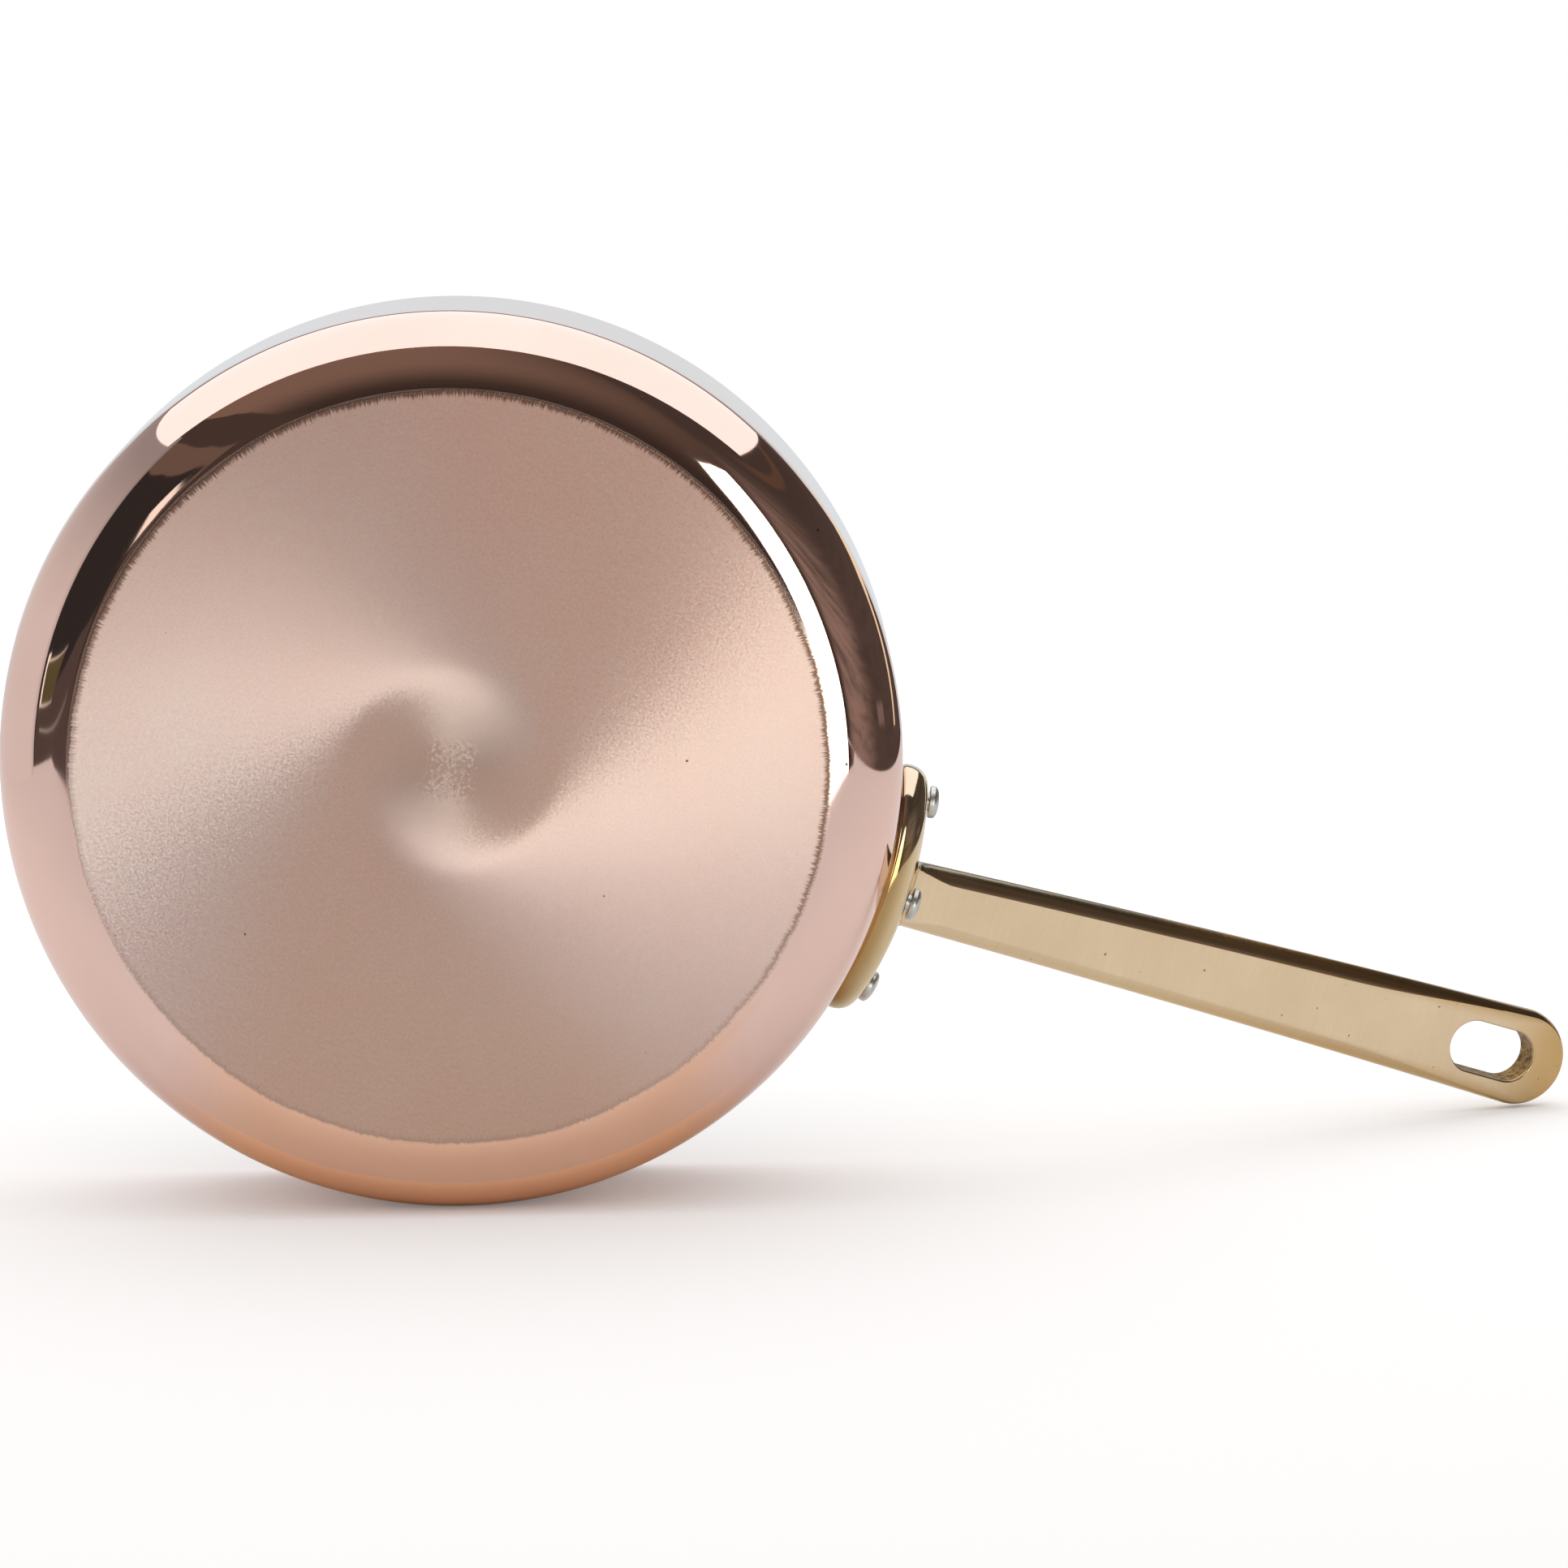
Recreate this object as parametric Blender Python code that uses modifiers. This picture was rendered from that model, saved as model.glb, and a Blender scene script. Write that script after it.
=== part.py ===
"""Copper saute pan, steel lined, with a cast brass handle held on by three rivets.

The pan stands on its base with +Z up. The origin is the centre of the flat base,
and the handle points along +X. All sizes are in metres.
"""

import math

import bmesh
import bpy
from mathutils import Matrix, Vector

# Pan body
PAN_DIAMETER = 0.244            # outside, over the straight wall
PAN_HEIGHT = 0.073              # flat base to rim
CORNER_RADIUS = 0.0188          # outside, between base and wall
COPPER_THICKNESS = 0.0020
LINING_THICKNESS = 0.0005
BOND_GAP = 0.0001               # between the copper and its lining
RIM_EASE = 0.0004               # small chamfer on the rim's outer edge
PAN_SEGMENTS = 96
CORNER_STEPS = 7

# Handle flange, the saddle that lies against the wall
SEAT_GAP = 0.0003               # between pieces that bear on each other
FLANGE_WIDTH = 0.070            # along the wall
FLANGE_HEIGHT = 0.039
FLANGE_THICKNESS = 0.0088
FLANGE_CROWN = 0.0010           # how far its front falls towards its edge
FLANGE_NOSE = 0.0055            # how far in the rounded front edge reaches
FLANGE_BACK_ROUND = 0.0015
FLANGE_RIM_MARGIN = 0.0070      # rim to the flange's upper edge
FLANGE_SQUARENESS = 2.3         # 2 is an ellipse, more is squarer
FLANGE_SEGMENTS = 48
FLANGE_BACK_SHARES = (0.3, 0.65, 1.0)   # rings on the back, as shares of its outline
FLANGE_FRONT_SHARES = (0.66, 0.33)      # the same on the front, inside the rounded edge
FLANGE_BACK_STEPS = 2
FLANGE_NOSE_STEPS = 5

# Handle bar, measured along its flat underside
BAR_LENGTH = 0.222              # front of the flange to the end of the handle
BAR_RISE_ROOT = math.radians(28.0)
BAR_RISE_TIP = math.radians(18.5)
BAR_ROOT_LIFT = 0.0035          # underside at the root above the flange's centre
BAR_ROOT_WIDTH = 0.0186
BAR_TIP_WIDTH = 0.0284
BAR_ROOT_THICKNESS = 0.0098
BAR_TIP_THICKNESS = 0.0090
BAR_ROOT_ROLL = 0.0014          # how far the sides stand out past the underside
BAR_MIDDLE_ROLL = 0.0038
BAR_TIP_ROLL = 0.0014
BAR_ROLL_START = 0.014          # length over which the sides swell from the root
BAR_ROLL_END = 0.060            # length over which they draw in again at the hole
BAR_WIDEST_SHARE = 0.52         # height of the widest line, as a share of the thickness
BAR_EDGE_ANGLE = math.radians(35.0)     # of the side where it leaves the crisp edge
CROWN_WIDTH_POWER = 0.7         # under 1 makes the top flatter and its shoulders fuller
CROWN_HEIGHT_POWER = 0.8
BAR_FILLET = 0.0025             # between the bar and the flange
FILLET_STATIONS = (0.0, 0.12, 0.35, 0.7, 1.2)   # rings near the root, in fillet radii
FILLET_CLEAR = 2.0              # where the even stations start, in fillet radii
BAR_STATIONS = 16
FLANK_STEPS = 4
CROWN_STEPS = 5
TIP_STEPS = 18

# Hanging hole
HOLE_LENGTH = 0.0270
HOLE_WIDTH = 0.0150
HOLE_END_MARGIN = 0.0110        # hole to the end of the handle
HOLE_EASE = 0.0005              # chamfer round the rim of the hole
HOLE_CORNER_STEPS = 8

# Rivets
RIVET_SHANK_DIAMETER = 0.0050
RIVET_HEAD_DIAMETER = 0.0090
RIVET_HEAD_HEIGHT = 0.0028
RIVET_EDGE_SHARE = 0.42         # share of the outer head's height that is straight edge
RIVET_DOME_POWER = 0.8          # under 1 makes the dome fuller
RIVET_DOME_ANGLES = (90, 68, 48, 30, 15, 0)
RIVET_INNER_DOME_ANGLES = (0, 20, 40, 60, 90)
RIVET_INNER_HEAD_DIAMETER = 0.0100
RIVET_INNER_HEAD_HEIGHT = 0.0019
RIVET_CLEARANCE = 0.0003        # round the shank
SIDE_RIVET_EDGE = 0.0098        # rivet axis to the flange's end
SIDE_RIVET_LIFT = 0.0025        # above the flange's centre
LOWER_RIVET_EDGE = 0.0100       # rivet axis to the flange's lower edge
RIVET_SEGMENTS = 28

OVERCUT = 0.002                 # how far a cutter runs past what it cuts

# What follows from the sizes above
WALL_RADIUS = PAN_DIAMETER / 2
LINING_INNER_RADIUS = WALL_RADIUS - COPPER_THICKNESS - BOND_GAP - LINING_THICKNESS
FLANGE_CENTRE_Z = PAN_HEIGHT - FLANGE_RIM_MARGIN - FLANGE_HEIGHT / 2
FLANGE_BACK_RADIUS = WALL_RADIUS + SEAT_GAP
FLANGE_FRONT_RADIUS = FLANGE_BACK_RADIUS + FLANGE_THICKNESS


def clear_scene():
    """Empty the file of objects."""
    for obj in list(bpy.data.objects):
        bpy.data.objects.remove(obj, do_unlink=True)


def new_collection(name):
    """A collection linked to the scene."""
    collection = bpy.data.collections.new(name)
    bpy.context.scene.collection.children.link(collection)
    return collection


def metal(name, colour, roughness):
    """A metal with a base colour and a roughness."""
    material = bpy.data.materials.new(name)
    material.use_nodes = True
    shader = material.node_tree.nodes["Principled BSDF"]
    shader.inputs["Base Color"].default_value = (*colour, 1.0)
    shader.inputs["Metallic"].default_value = 1.0
    shader.inputs["Roughness"].default_value = roughness
    material.diffuse_color = (*colour, 1.0)
    return material


def add_object(name, mesh, collection, material=None):
    """An object for a mesh, in a collection."""
    obj = bpy.data.objects.new(name, mesh)
    collection.objects.link(obj)
    if material is not None:
        mesh.materials.append(material)
    return obj


def mesh_from_bmesh(name, bm, smooth_angle=math.radians(40)):
    """A mesh with outward faces, smooth except across sharp edges."""
    bmesh.ops.recalc_face_normals(bm, faces=bm.faces[:])
    mesh = bpy.data.meshes.new(name)
    bm.to_mesh(mesh)
    bm.free()
    mesh.shade_smooth()
    mesh.set_sharp_from_angle(angle=smooth_angle)
    return mesh


def turned(name, profile, segments, collection, material=None):
    """A solid turned about Z from (radius, height) points that run down its outside."""
    mesh = bpy.data.meshes.new(name)
    edges = [(i, i + 1) for i in range(len(profile) - 1)]
    mesh.from_pydata([(radius, 0.0, height) for radius, height in profile], edges, [])
    obj = add_object(name, mesh, collection, material)
    screw = obj.modifiers.new("Turn", "SCREW")
    screw.axis = "Z"
    screw.angle = 2 * math.pi
    screw.steps = segments
    screw.render_steps = segments
    screw.use_merge_vertices = True
    screw.merge_threshold = 0.00001
    screw.use_smooth_shade = True
    return obj


def arc(centre_radius, centre_height, radius, start, end, steps):
    """Profile points on an arc; angles are in degrees from +X towards +Z."""
    points = []
    for i in range(steps + 1):
        angle = math.radians(start + (end - start) * i / steps)
        points.append((centre_radius + radius * math.cos(angle),
                       centre_height + radius * math.sin(angle)))
    return points


def cut(obj, cutter):
    """Take a cutter out of an object."""
    boolean = obj.modifiers.new(cutter.name, "BOOLEAN")
    boolean.operation = "DIFFERENCE"
    boolean.solver = "EXACT"
    boolean.object = cutter


def join(obj, other):
    """Join another solid to an object."""
    boolean = obj.modifiers.new(other.name, "BOOLEAN")
    boolean.operation = "UNION"
    boolean.solver = "EXACT"
    boolean.object = other


def as_guide(obj):
    """Mark an object that is only cut or joined."""
    obj.hide_render = True
    obj.display_type = "WIRE"
    return obj


def smooth(value):
    """A smooth step from 0 to 1."""
    value = min(max(value, 0.0), 1.0)
    return value * value * (3 - 2 * value)


def cup_profile(outer_radius, base_height, corner_radius, thickness, ease):
    """Profile of a straight-sided cup, from the inside of its base to the outside."""
    inner_radius = outer_radius - thickness
    inner_corner = corner_radius - thickness
    corner_axis = outer_radius - corner_radius
    inner_axis = inner_radius - inner_corner
    points = [(0.0, base_height + thickness)]
    points += arc(inner_axis, base_height + thickness + inner_corner, inner_corner,
                  -90, 0, CORNER_STEPS)
    points.append((inner_radius, PAN_HEIGHT))
    points.append((outer_radius - ease, PAN_HEIGHT))
    if ease > 0:
        points.append((outer_radius, PAN_HEIGHT - ease))
    points += arc(corner_axis, base_height + corner_radius, corner_radius,
                  0, -90, CORNER_STEPS)
    points.append((0.0, base_height))
    return points


def make_copper_body(collection, material):
    """The pan's copper cup: flat base, round corner and straight wall."""
    profile = cup_profile(WALL_RADIUS, 0.0, CORNER_RADIUS, COPPER_THICKNESS, RIM_EASE)
    return turned("copper_body", profile, PAN_SEGMENTS, collection, material)


def make_steel_lining(collection, material):
    """The steel skin bonded to the inside of the copper, flush with it at the rim."""
    inset = COPPER_THICKNESS + BOND_GAP
    profile = cup_profile(WALL_RADIUS - inset, inset, CORNER_RADIUS - inset,
                          LINING_THICKNESS, 0.0)
    return turned("steel_lining", profile, PAN_SEGMENTS, collection, material)


def oval(half_width, half_height, angle):
    """A point on the flange's outline, or on one drawn inside it."""
    power = 2 / FLANGE_SQUARENESS
    across = math.copysign(abs(math.cos(angle)) ** power, math.cos(angle))
    up = math.copysign(abs(math.sin(angle)) ** power, math.sin(angle))
    return half_width * across, half_height * up


def on_wall(along, up, height):
    """A point at a distance along and up the wall, and a height off the flange's back."""
    angle = along / WALL_RADIUS
    radius = FLANGE_BACK_RADIUS + height
    return Vector((radius * math.cos(angle), radius * math.sin(angle), FLANGE_CENTRE_Z + up))


def flange_rings():
    """Outlines from the middle of the flange's back to the middle of its front.

    Each is (how far it is drawn in, its share of that outline, its height).
    """
    shoulder = FLANGE_THICKNESS - FLANGE_CROWN
    rings = [(FLANGE_BACK_ROUND, share, 0.0) for share in FLANGE_BACK_SHARES]
    for i in range(1, FLANGE_BACK_STEPS + 1):
        turn = math.pi / 2 * i / FLANGE_BACK_STEPS
        rings.append((FLANGE_BACK_ROUND * (1 - math.sin(turn)), 1.0,
                      FLANGE_BACK_ROUND * (1 - math.cos(turn))))
    for i in range(1, FLANGE_NOSE_STEPS + 1):
        turn = math.pi / 2 * i / FLANGE_NOSE_STEPS
        rings.append((FLANGE_NOSE * (1 - math.cos(turn)), 1.0,
                      FLANGE_BACK_ROUND + (shoulder - FLANGE_BACK_ROUND) * math.sin(turn)))
    for share in FLANGE_FRONT_SHARES:
        rings.append((FLANGE_NOSE, share, FLANGE_THICKNESS - FLANGE_CROWN * share ** 2))
    return rings


def make_flange(collection, material):
    """The oval saddle of the handle, bent round the wall, with a pillow-like edge."""
    bm = bmesh.new()
    rings = []
    for inset, share, height in flange_rings():
        ring = []
        for i in range(FLANGE_SEGMENTS):
            along, up = oval((FLANGE_WIDTH / 2 - inset) * share,
                             (FLANGE_HEIGHT / 2 - inset) * share,
                             2 * math.pi * i / FLANGE_SEGMENTS)
            ring.append(bm.verts.new(on_wall(along, up, height)))
        rings.append(ring)
    back = bm.verts.new(on_wall(0.0, 0.0, 0.0))
    front = bm.verts.new(on_wall(0.0, 0.0, FLANGE_THICKNESS))
    for i in range(FLANGE_SEGMENTS):
        j = (i + 1) % FLANGE_SEGMENTS
        bm.faces.new((back, rings[0][i], rings[0][j]))
        for lower, upper in zip(rings, rings[1:]):
            bm.faces.new((lower[i], lower[j], upper[j], upper[i]))
        bm.faces.new((front, rings[-1][j], rings[-1][i]))
    return add_object("handle", mesh_from_bmesh("handle", bm), collection, material)


def bar_rise(distance):
    """Slope of the handle's underside at a distance from the flange."""
    return BAR_RISE_ROOT + (BAR_RISE_TIP - BAR_RISE_ROOT) * distance / BAR_LENGTH


def bar_point(distance):
    """The middle of the handle's underside at a distance along its shallow arc."""
    half_turn = (bar_rise(distance) - BAR_RISE_ROOT) / 2
    chord = distance * (math.sin(half_turn) / half_turn if abs(half_turn) > 1e-6 else 1.0)
    slope = BAR_RISE_ROOT + half_turn
    root_z = FLANGE_CENTRE_Z + BAR_ROOT_LIFT
    return Vector((FLANGE_FRONT_RADIUS + chord * math.cos(slope), 0.0,
                   root_z + chord * math.sin(slope)))


def bar_axes(distance):
    """The directions along the bar and up through its thickness."""
    slope = bar_rise(distance)
    along = Vector((math.cos(slope), 0.0, math.sin(slope)))
    up = Vector((-math.sin(slope), 0.0, math.cos(slope)))
    return along, up


def bar_half_section(distance, round_start):
    """Half of the bar's section as (across, up) points, underside to top.

    The underside is flat with a crisp edge. The side stands out past it and is
    rounded, and the top is crowned. The round end starts at round_start.
    """
    share = min(max(distance / round_start, 0.0), 1.0)
    half_width = (BAR_ROOT_WIDTH + (BAR_TIP_WIDTH - BAR_ROOT_WIDTH) * share) / 2
    thickness = BAR_ROOT_THICKNESS + (BAR_TIP_THICKNESS - BAR_ROOT_THICKNESS) * share
    swell = smooth(distance / BAR_ROLL_START)
    draw_in = smooth((distance - round_start + BAR_ROLL_END) / BAR_ROLL_END)
    roll = BAR_ROOT_ROLL + (BAR_MIDDLE_ROLL - BAR_ROOT_ROLL) * swell
    roll += (BAR_TIP_ROLL - roll) * draw_in
    widest = thickness * BAR_WIDEST_SHARE
    edge_sine = math.sin(BAR_EDGE_ANGLE)
    edge_cosine = math.cos(BAR_EDGE_ANGLE)
    points = [(0.0, 0.0)]
    for i in range(FLANK_STEPS + 1):
        angle = BAR_EDGE_ANGLE + (math.pi / 2 - BAR_EDGE_ANGLE) * i / FLANK_STEPS
        out = (math.sin(angle) - edge_sine) / (1 - edge_sine)
        up = 1 - math.cos(angle) / edge_cosine
        points.append((half_width - roll * (1 - out), widest * up))
    for i in range(1, CROWN_STEPS):
        angle = math.pi / 2 * i / CROWN_STEPS
        rise = math.sin(angle) ** CROWN_HEIGHT_POWER
        points.append((half_width * math.cos(angle) ** CROWN_WIDTH_POWER,
                       widest + (thickness - widest) * rise))
    points.append((0.0, thickness))
    return points


def full_section(half):
    """A whole ring from half a section."""
    return half + [(-across, up) for across, up in reversed(half[1:-1])]


def fillet_spread(reach):
    """How far the fillet at the root stands out at a distance off the flange."""
    if reach >= BAR_FILLET:
        return 0.0
    return BAR_FILLET - math.sqrt(BAR_FILLET ** 2 - (BAR_FILLET - max(reach, 0.0)) ** 2)


def bar_ring(bm, distance, round_start):
    """One ring of the bar, turned parallel to the flange near the root."""
    along, up = bar_axes(distance)
    lean = 1 - smooth(distance / BAR_ROLL_START)
    up = up + along * (math.tan(bar_rise(distance)) * lean)
    half = bar_half_section(distance, round_start)
    thickness = half[-1][1]
    spread = fillet_spread(distance * math.cos(bar_rise(distance)))
    origin = bar_point(distance)
    ring = []
    for across, height in full_section(half):
        side = math.copysign(spread, across) if abs(across) > 1e-9 else 0.0
        lift = spread * (2 * height / thickness - 1)
        ring.append(bm.verts.new(origin + Vector((0.0, across + side, 0.0)) + up * (height + lift)))
    return ring


def make_bar(collection):
    """The handle's bar: a loft along a shallow arc, with a turned round end."""
    round_start = BAR_LENGTH - BAR_TIP_WIDTH / 2
    sunk = -FLANGE_THICKNESS / 2
    clear = BAR_FILLET * FILLET_CLEAR
    stations = [sunk] + [BAR_FILLET * share for share in FILLET_STATIONS]
    stations += [clear + (round_start - clear) * i / BAR_STATIONS
                 for i in range(BAR_STATIONS + 1)]
    bm = bmesh.new()
    rings = [bar_ring(bm, distance, round_start) for distance in stations]
    bm.faces.new(rings[0])
    for lower, upper in zip(rings, rings[1:]):
        count = len(lower)
        for i in range(count):
            j = (i + 1) % count
            bm.faces.new((lower[i], lower[j], upper[j], upper[i]))

    half = bar_half_section(round_start, round_start)
    along, up = bar_axes(round_start)
    origin = bar_point(round_start)
    last = rings[-1]
    bottom, top = last[0], last[len(half) - 1]
    right = last[1:len(half) - 1]
    left = list(reversed(last[len(half):]))
    fans = [right]
    for step in range(1, TIP_STEPS):
        turn = math.pi * step / TIP_STEPS
        outward = Vector((0.0, math.cos(turn), 0.0)) + along * math.sin(turn)
        fans.append([bm.verts.new(origin + outward * across + up * height)
                     for across, height in half[1:-1]])
    fans.append(left)
    for here, there in zip(fans, fans[1:]):
        bm.faces.new((bottom, here[0], there[0]))
        for i in range(len(here) - 1):
            bm.faces.new((here[i], here[i + 1], there[i + 1], there[i]))
        bm.faces.new((top, there[-1], here[-1]))
    return as_guide(add_object("bar", mesh_from_bmesh("bar", bm), collection))


def hole_outline(grow):
    """The long hole's outline as (along, across) points: straight sides, round ends."""
    radius = HOLE_WIDTH / 2
    reach = HOLE_LENGTH / 2 - radius
    points = []
    for end in (0, 1):
        for i in range(HOLE_CORNER_STEPS + 1):
            angle = math.pi * (end + i / HOLE_CORNER_STEPS) - math.pi / 2
            along = (reach if end == 0 else -reach) + (radius + grow) * math.cos(angle)
            points.append((along, (radius + grow) * math.sin(angle)))
    return points


def make_hole_cutter(collection):
    """A cutter for the hanging hole, wider at both mouths for the eased rims."""
    middle = BAR_LENGTH - HOLE_END_MARGIN - HOLE_LENGTH / 2
    along, up = bar_axes(middle)
    origin = bar_point(middle)
    levels = [(-OVERCUT, HOLE_EASE + OVERCUT), (HOLE_EASE, 0.0),
              (BAR_TIP_THICKNESS - HOLE_EASE, 0.0),
              (BAR_TIP_THICKNESS + OVERCUT, HOLE_EASE + OVERCUT)]
    bm = bmesh.new()
    rings = [[bm.verts.new(origin + along * x + Vector((0.0, y, 0.0)) + up * height)
              for x, y in hole_outline(grow)] for height, grow in levels]
    bm.faces.new(rings[0])
    bm.faces.new(list(reversed(rings[-1])))
    for lower, upper in zip(rings, rings[1:]):
        for i in range(len(lower)):
            j = (i + 1) % len(lower)
            bm.faces.new((lower[i], lower[j], upper[j], upper[i]))
    return as_guide(add_object("hole_cutter", mesh_from_bmesh("hole_cutter", bm), collection))


def rivet_places():
    """Each rivet's name, distance along the wall and height on it."""
    side = FLANGE_WIDTH / 2 - SIDE_RIVET_EDGE
    side_z = FLANGE_CENTRE_Z + SIDE_RIVET_LIFT
    lower_z = FLANGE_CENTRE_Z - FLANGE_HEIGHT / 2 + LOWER_RIVET_EDGE
    return [("rivet_left", side, side_z), ("rivet_right", -side, side_z),
            ("rivet_lower", 0.0, lower_z)]


def rivet_matrix(along, height):
    """Places a rivet whose own +Z runs outward through the wall at this spot."""
    angle = along / WALL_RADIUS
    turn = Matrix.Rotation(angle, 4, "Z") @ Matrix.Rotation(math.pi / 2, 4, "Y")
    return Matrix.Translation((0.0, 0.0, height)) @ turn


def head_sag(head_diameter, wall_radius):
    """How far a round wall falls away across half a rivet head."""
    return wall_radius - math.sqrt(wall_radius ** 2 - (head_diameter / 2) ** 2)


def flange_front_radius(along, up):
    """Distance of the flange's crowned front from the pan's axis, at a spot on it."""
    power = FLANGE_SQUARENESS
    across = abs(along) / (FLANGE_WIDTH / 2 - FLANGE_NOSE)
    height = abs(up) / (FLANGE_HEIGHT / 2 - FLANGE_NOSE)
    share_squared = (across ** power + height ** power) ** (2 / power)
    return FLANGE_FRONT_RADIUS - FLANGE_CROWN * share_squared


def rivet_seat(along, height):
    """Radius at which an outer head sits: on the highest spot of the front under it."""
    up = height - FLANGE_CENTRE_Z
    reach = math.hypot(along, up)
    inward = max(reach - RIVET_HEAD_DIAMETER / 2, 0.0) / reach
    return flange_front_radius(along * inward, up * inward) + SEAT_GAP


def rivet_profile(outer_seat):
    """The rivet's outline from its outer head down to its inner head."""
    shank = RIVET_SHANK_DIAMETER / 2
    outer = RIVET_HEAD_DIAMETER / 2
    inner = RIVET_INNER_HEAD_DIAMETER / 2
    inner_seat = LINING_INNER_RADIUS - SEAT_GAP - head_sag(RIVET_INNER_HEAD_DIAMETER,
                                                           LINING_INNER_RADIUS)
    edge = RIVET_HEAD_HEIGHT * RIVET_EDGE_SHARE
    dome = RIVET_HEAD_HEIGHT - edge
    top = []
    for angle in RIVET_DOME_ANGLES:
        turn = math.radians(angle)
        top.append((outer * math.cos(turn) ** RIVET_DOME_POWER,
                    outer_seat + edge + dome * math.sin(turn)))
    top[0] = (0.0, outer_seat + RIVET_HEAD_HEIGHT)
    bottom = []
    for angle in RIVET_INNER_DOME_ANGLES:
        turn = math.radians(angle)
        bottom.append((inner * math.cos(turn), inner_seat - RIVET_INNER_HEAD_HEIGHT * math.sin(turn)))
    bottom[-1] = (0.0, inner_seat - RIVET_INNER_HEAD_HEIGHT)
    return top + [(outer, outer_seat), (shank, outer_seat), (shank, inner_seat)] + bottom


def make_rivets(collection, cutters, material):
    """The three rivets, and the cutters for their holes."""
    rivets = []
    hole_cutters = []
    reach_in = LINING_INNER_RADIUS - OVERCUT
    reach_out = FLANGE_FRONT_RADIUS + OVERCUT
    radius = RIVET_SHANK_DIAMETER / 2 + RIVET_CLEARANCE
    for name, along, height in rivet_places():
        rivet = turned(name, rivet_profile(rivet_seat(along, height)), RIVET_SEGMENTS,
                       collection, material)
        rivet.matrix_world = rivet_matrix(along, height)
        rivets.append(rivet)
        profile = [(0.0, reach_out), (radius, reach_out), (radius, reach_in), (0.0, reach_in)]
        cutter = turned(name + "_cutter", profile, RIVET_SEGMENTS, cutters)
        cutter.matrix_world = rivet_matrix(along, height)
        hole_cutters.append(as_guide(cutter))
    return rivets, hole_cutters


def main():
    """Build the whole pan."""
    clear_scene()
    parts = new_collection("saute_pan")
    cutters = new_collection("cutters")
    copper = metal("copper", (0.86, 0.47, 0.34), 0.28)
    steel = metal("steel", (0.62, 0.61, 0.59), 0.32)
    brass = metal("brass", (0.72, 0.52, 0.24), 0.22)

    body = make_copper_body(parts, copper)
    lining = make_steel_lining(parts, steel)
    handle = make_flange(parts, brass)
    join(handle, make_bar(cutters))
    cut(handle, make_hole_cutter(cutters))
    rivets, hole_cutters = make_rivets(parts, cutters, steel)
    for cutter in hole_cutters:
        for piece in (body, lining, handle):
            cut(piece, cutter)

    root = bpy.data.objects.new("saute_pan", None)
    parts.objects.link(root)
    for piece in (body, lining, handle, *rivets):
        piece.parent = root


main()
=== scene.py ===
"""Looks for the copper saute pan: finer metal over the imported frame, its studio and its camera.

The pan stands upright in the frame, with +Z up and its handle along +X. The photograph
shows it lying on its side, seen from below, so the photograph's floor is an upright
plane here and its camera looks up at the base.
"""

from functools import reduce
from math import copysign, cos, hypot, pi, radians, sin, sqrt, tan

import bmesh
import bpy
from mathutils import Matrix, Vector


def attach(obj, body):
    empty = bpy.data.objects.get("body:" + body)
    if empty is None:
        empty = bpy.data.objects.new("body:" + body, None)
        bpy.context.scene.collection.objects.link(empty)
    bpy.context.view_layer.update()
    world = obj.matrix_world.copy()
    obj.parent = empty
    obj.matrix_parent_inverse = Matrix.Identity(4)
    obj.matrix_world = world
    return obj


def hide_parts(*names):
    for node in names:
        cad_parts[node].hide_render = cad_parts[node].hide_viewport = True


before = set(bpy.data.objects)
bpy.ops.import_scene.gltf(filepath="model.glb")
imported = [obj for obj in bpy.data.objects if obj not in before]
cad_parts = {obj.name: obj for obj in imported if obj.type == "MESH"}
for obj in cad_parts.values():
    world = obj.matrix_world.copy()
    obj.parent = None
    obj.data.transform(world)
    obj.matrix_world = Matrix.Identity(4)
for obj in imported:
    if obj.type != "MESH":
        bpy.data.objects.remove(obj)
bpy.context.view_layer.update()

# Sizes that the finer pieces share with the solids, in metres
WALL_RADIUS = 0.122
PAN_HEIGHT = 0.073
CORNER_RADIUS = 0.0188
COPPER = 0.0020
LINING = 0.0005
BOND_GAP = 0.0001
RIM_EASE = 0.0004
INNER_RIM_EASE = 0.00012
LINING_RIM_EASE = 0.00006
SEAT_GAP = 0.0003
LINING_INNER_RADIUS = WALL_RADIUS - COPPER - BOND_GAP - LINING

FLANGE_WIDTH = 0.070
FLANGE_HEIGHT = 0.039
FLANGE_THICKNESS = 0.0088
FLANGE_CROWN = 0.0010
FLANGE_NOSE = 0.0055
FLANGE_BACK_ROUND = 0.0015
FLANGE_SQUARENESS = 2.3
FLANGE_CENTRE_Z = 0.0465
FLANGE_BACK_RADIUS = WALL_RADIUS + SEAT_GAP
FLANGE_FRONT_RADIUS = FLANGE_BACK_RADIUS + FLANGE_THICKNESS

BAR_LENGTH = 0.222
BAR_RISE_ROOT = radians(28.0)
BAR_RISE_TIP = radians(18.5)
BAR_ROOT_Z = FLANGE_CENTRE_Z + 0.0035
BAR_WIDTHS = (0.0186, 0.0284)
BAR_THICKNESSES = (0.0098, 0.0090)
BAR_ROLLS = (0.0014, 0.0038, 0.0014)
BAR_ROLL_START = 0.014
BAR_ROLL_END = 0.060
BAR_WIDEST_SHARE = 0.52
BAR_EDGE_ANGLE = radians(35.0)
BAR_FILLET = 0.0025
ROOT_SINK = 0.0001  # how far the bar's root sinks into the flange's front
BAR_EDGE_SETS = (0.0009, 0.00025)  # face loops that keep the underside's edge crisp
BAR_EDGE_EASE = (0.004, 0.006)  # of that edge: shares of the roll and of the flank's height
CROWN_WIDTH_POWER = 0.73  # under 1 makes the top flatter and its shoulders fuller
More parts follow.
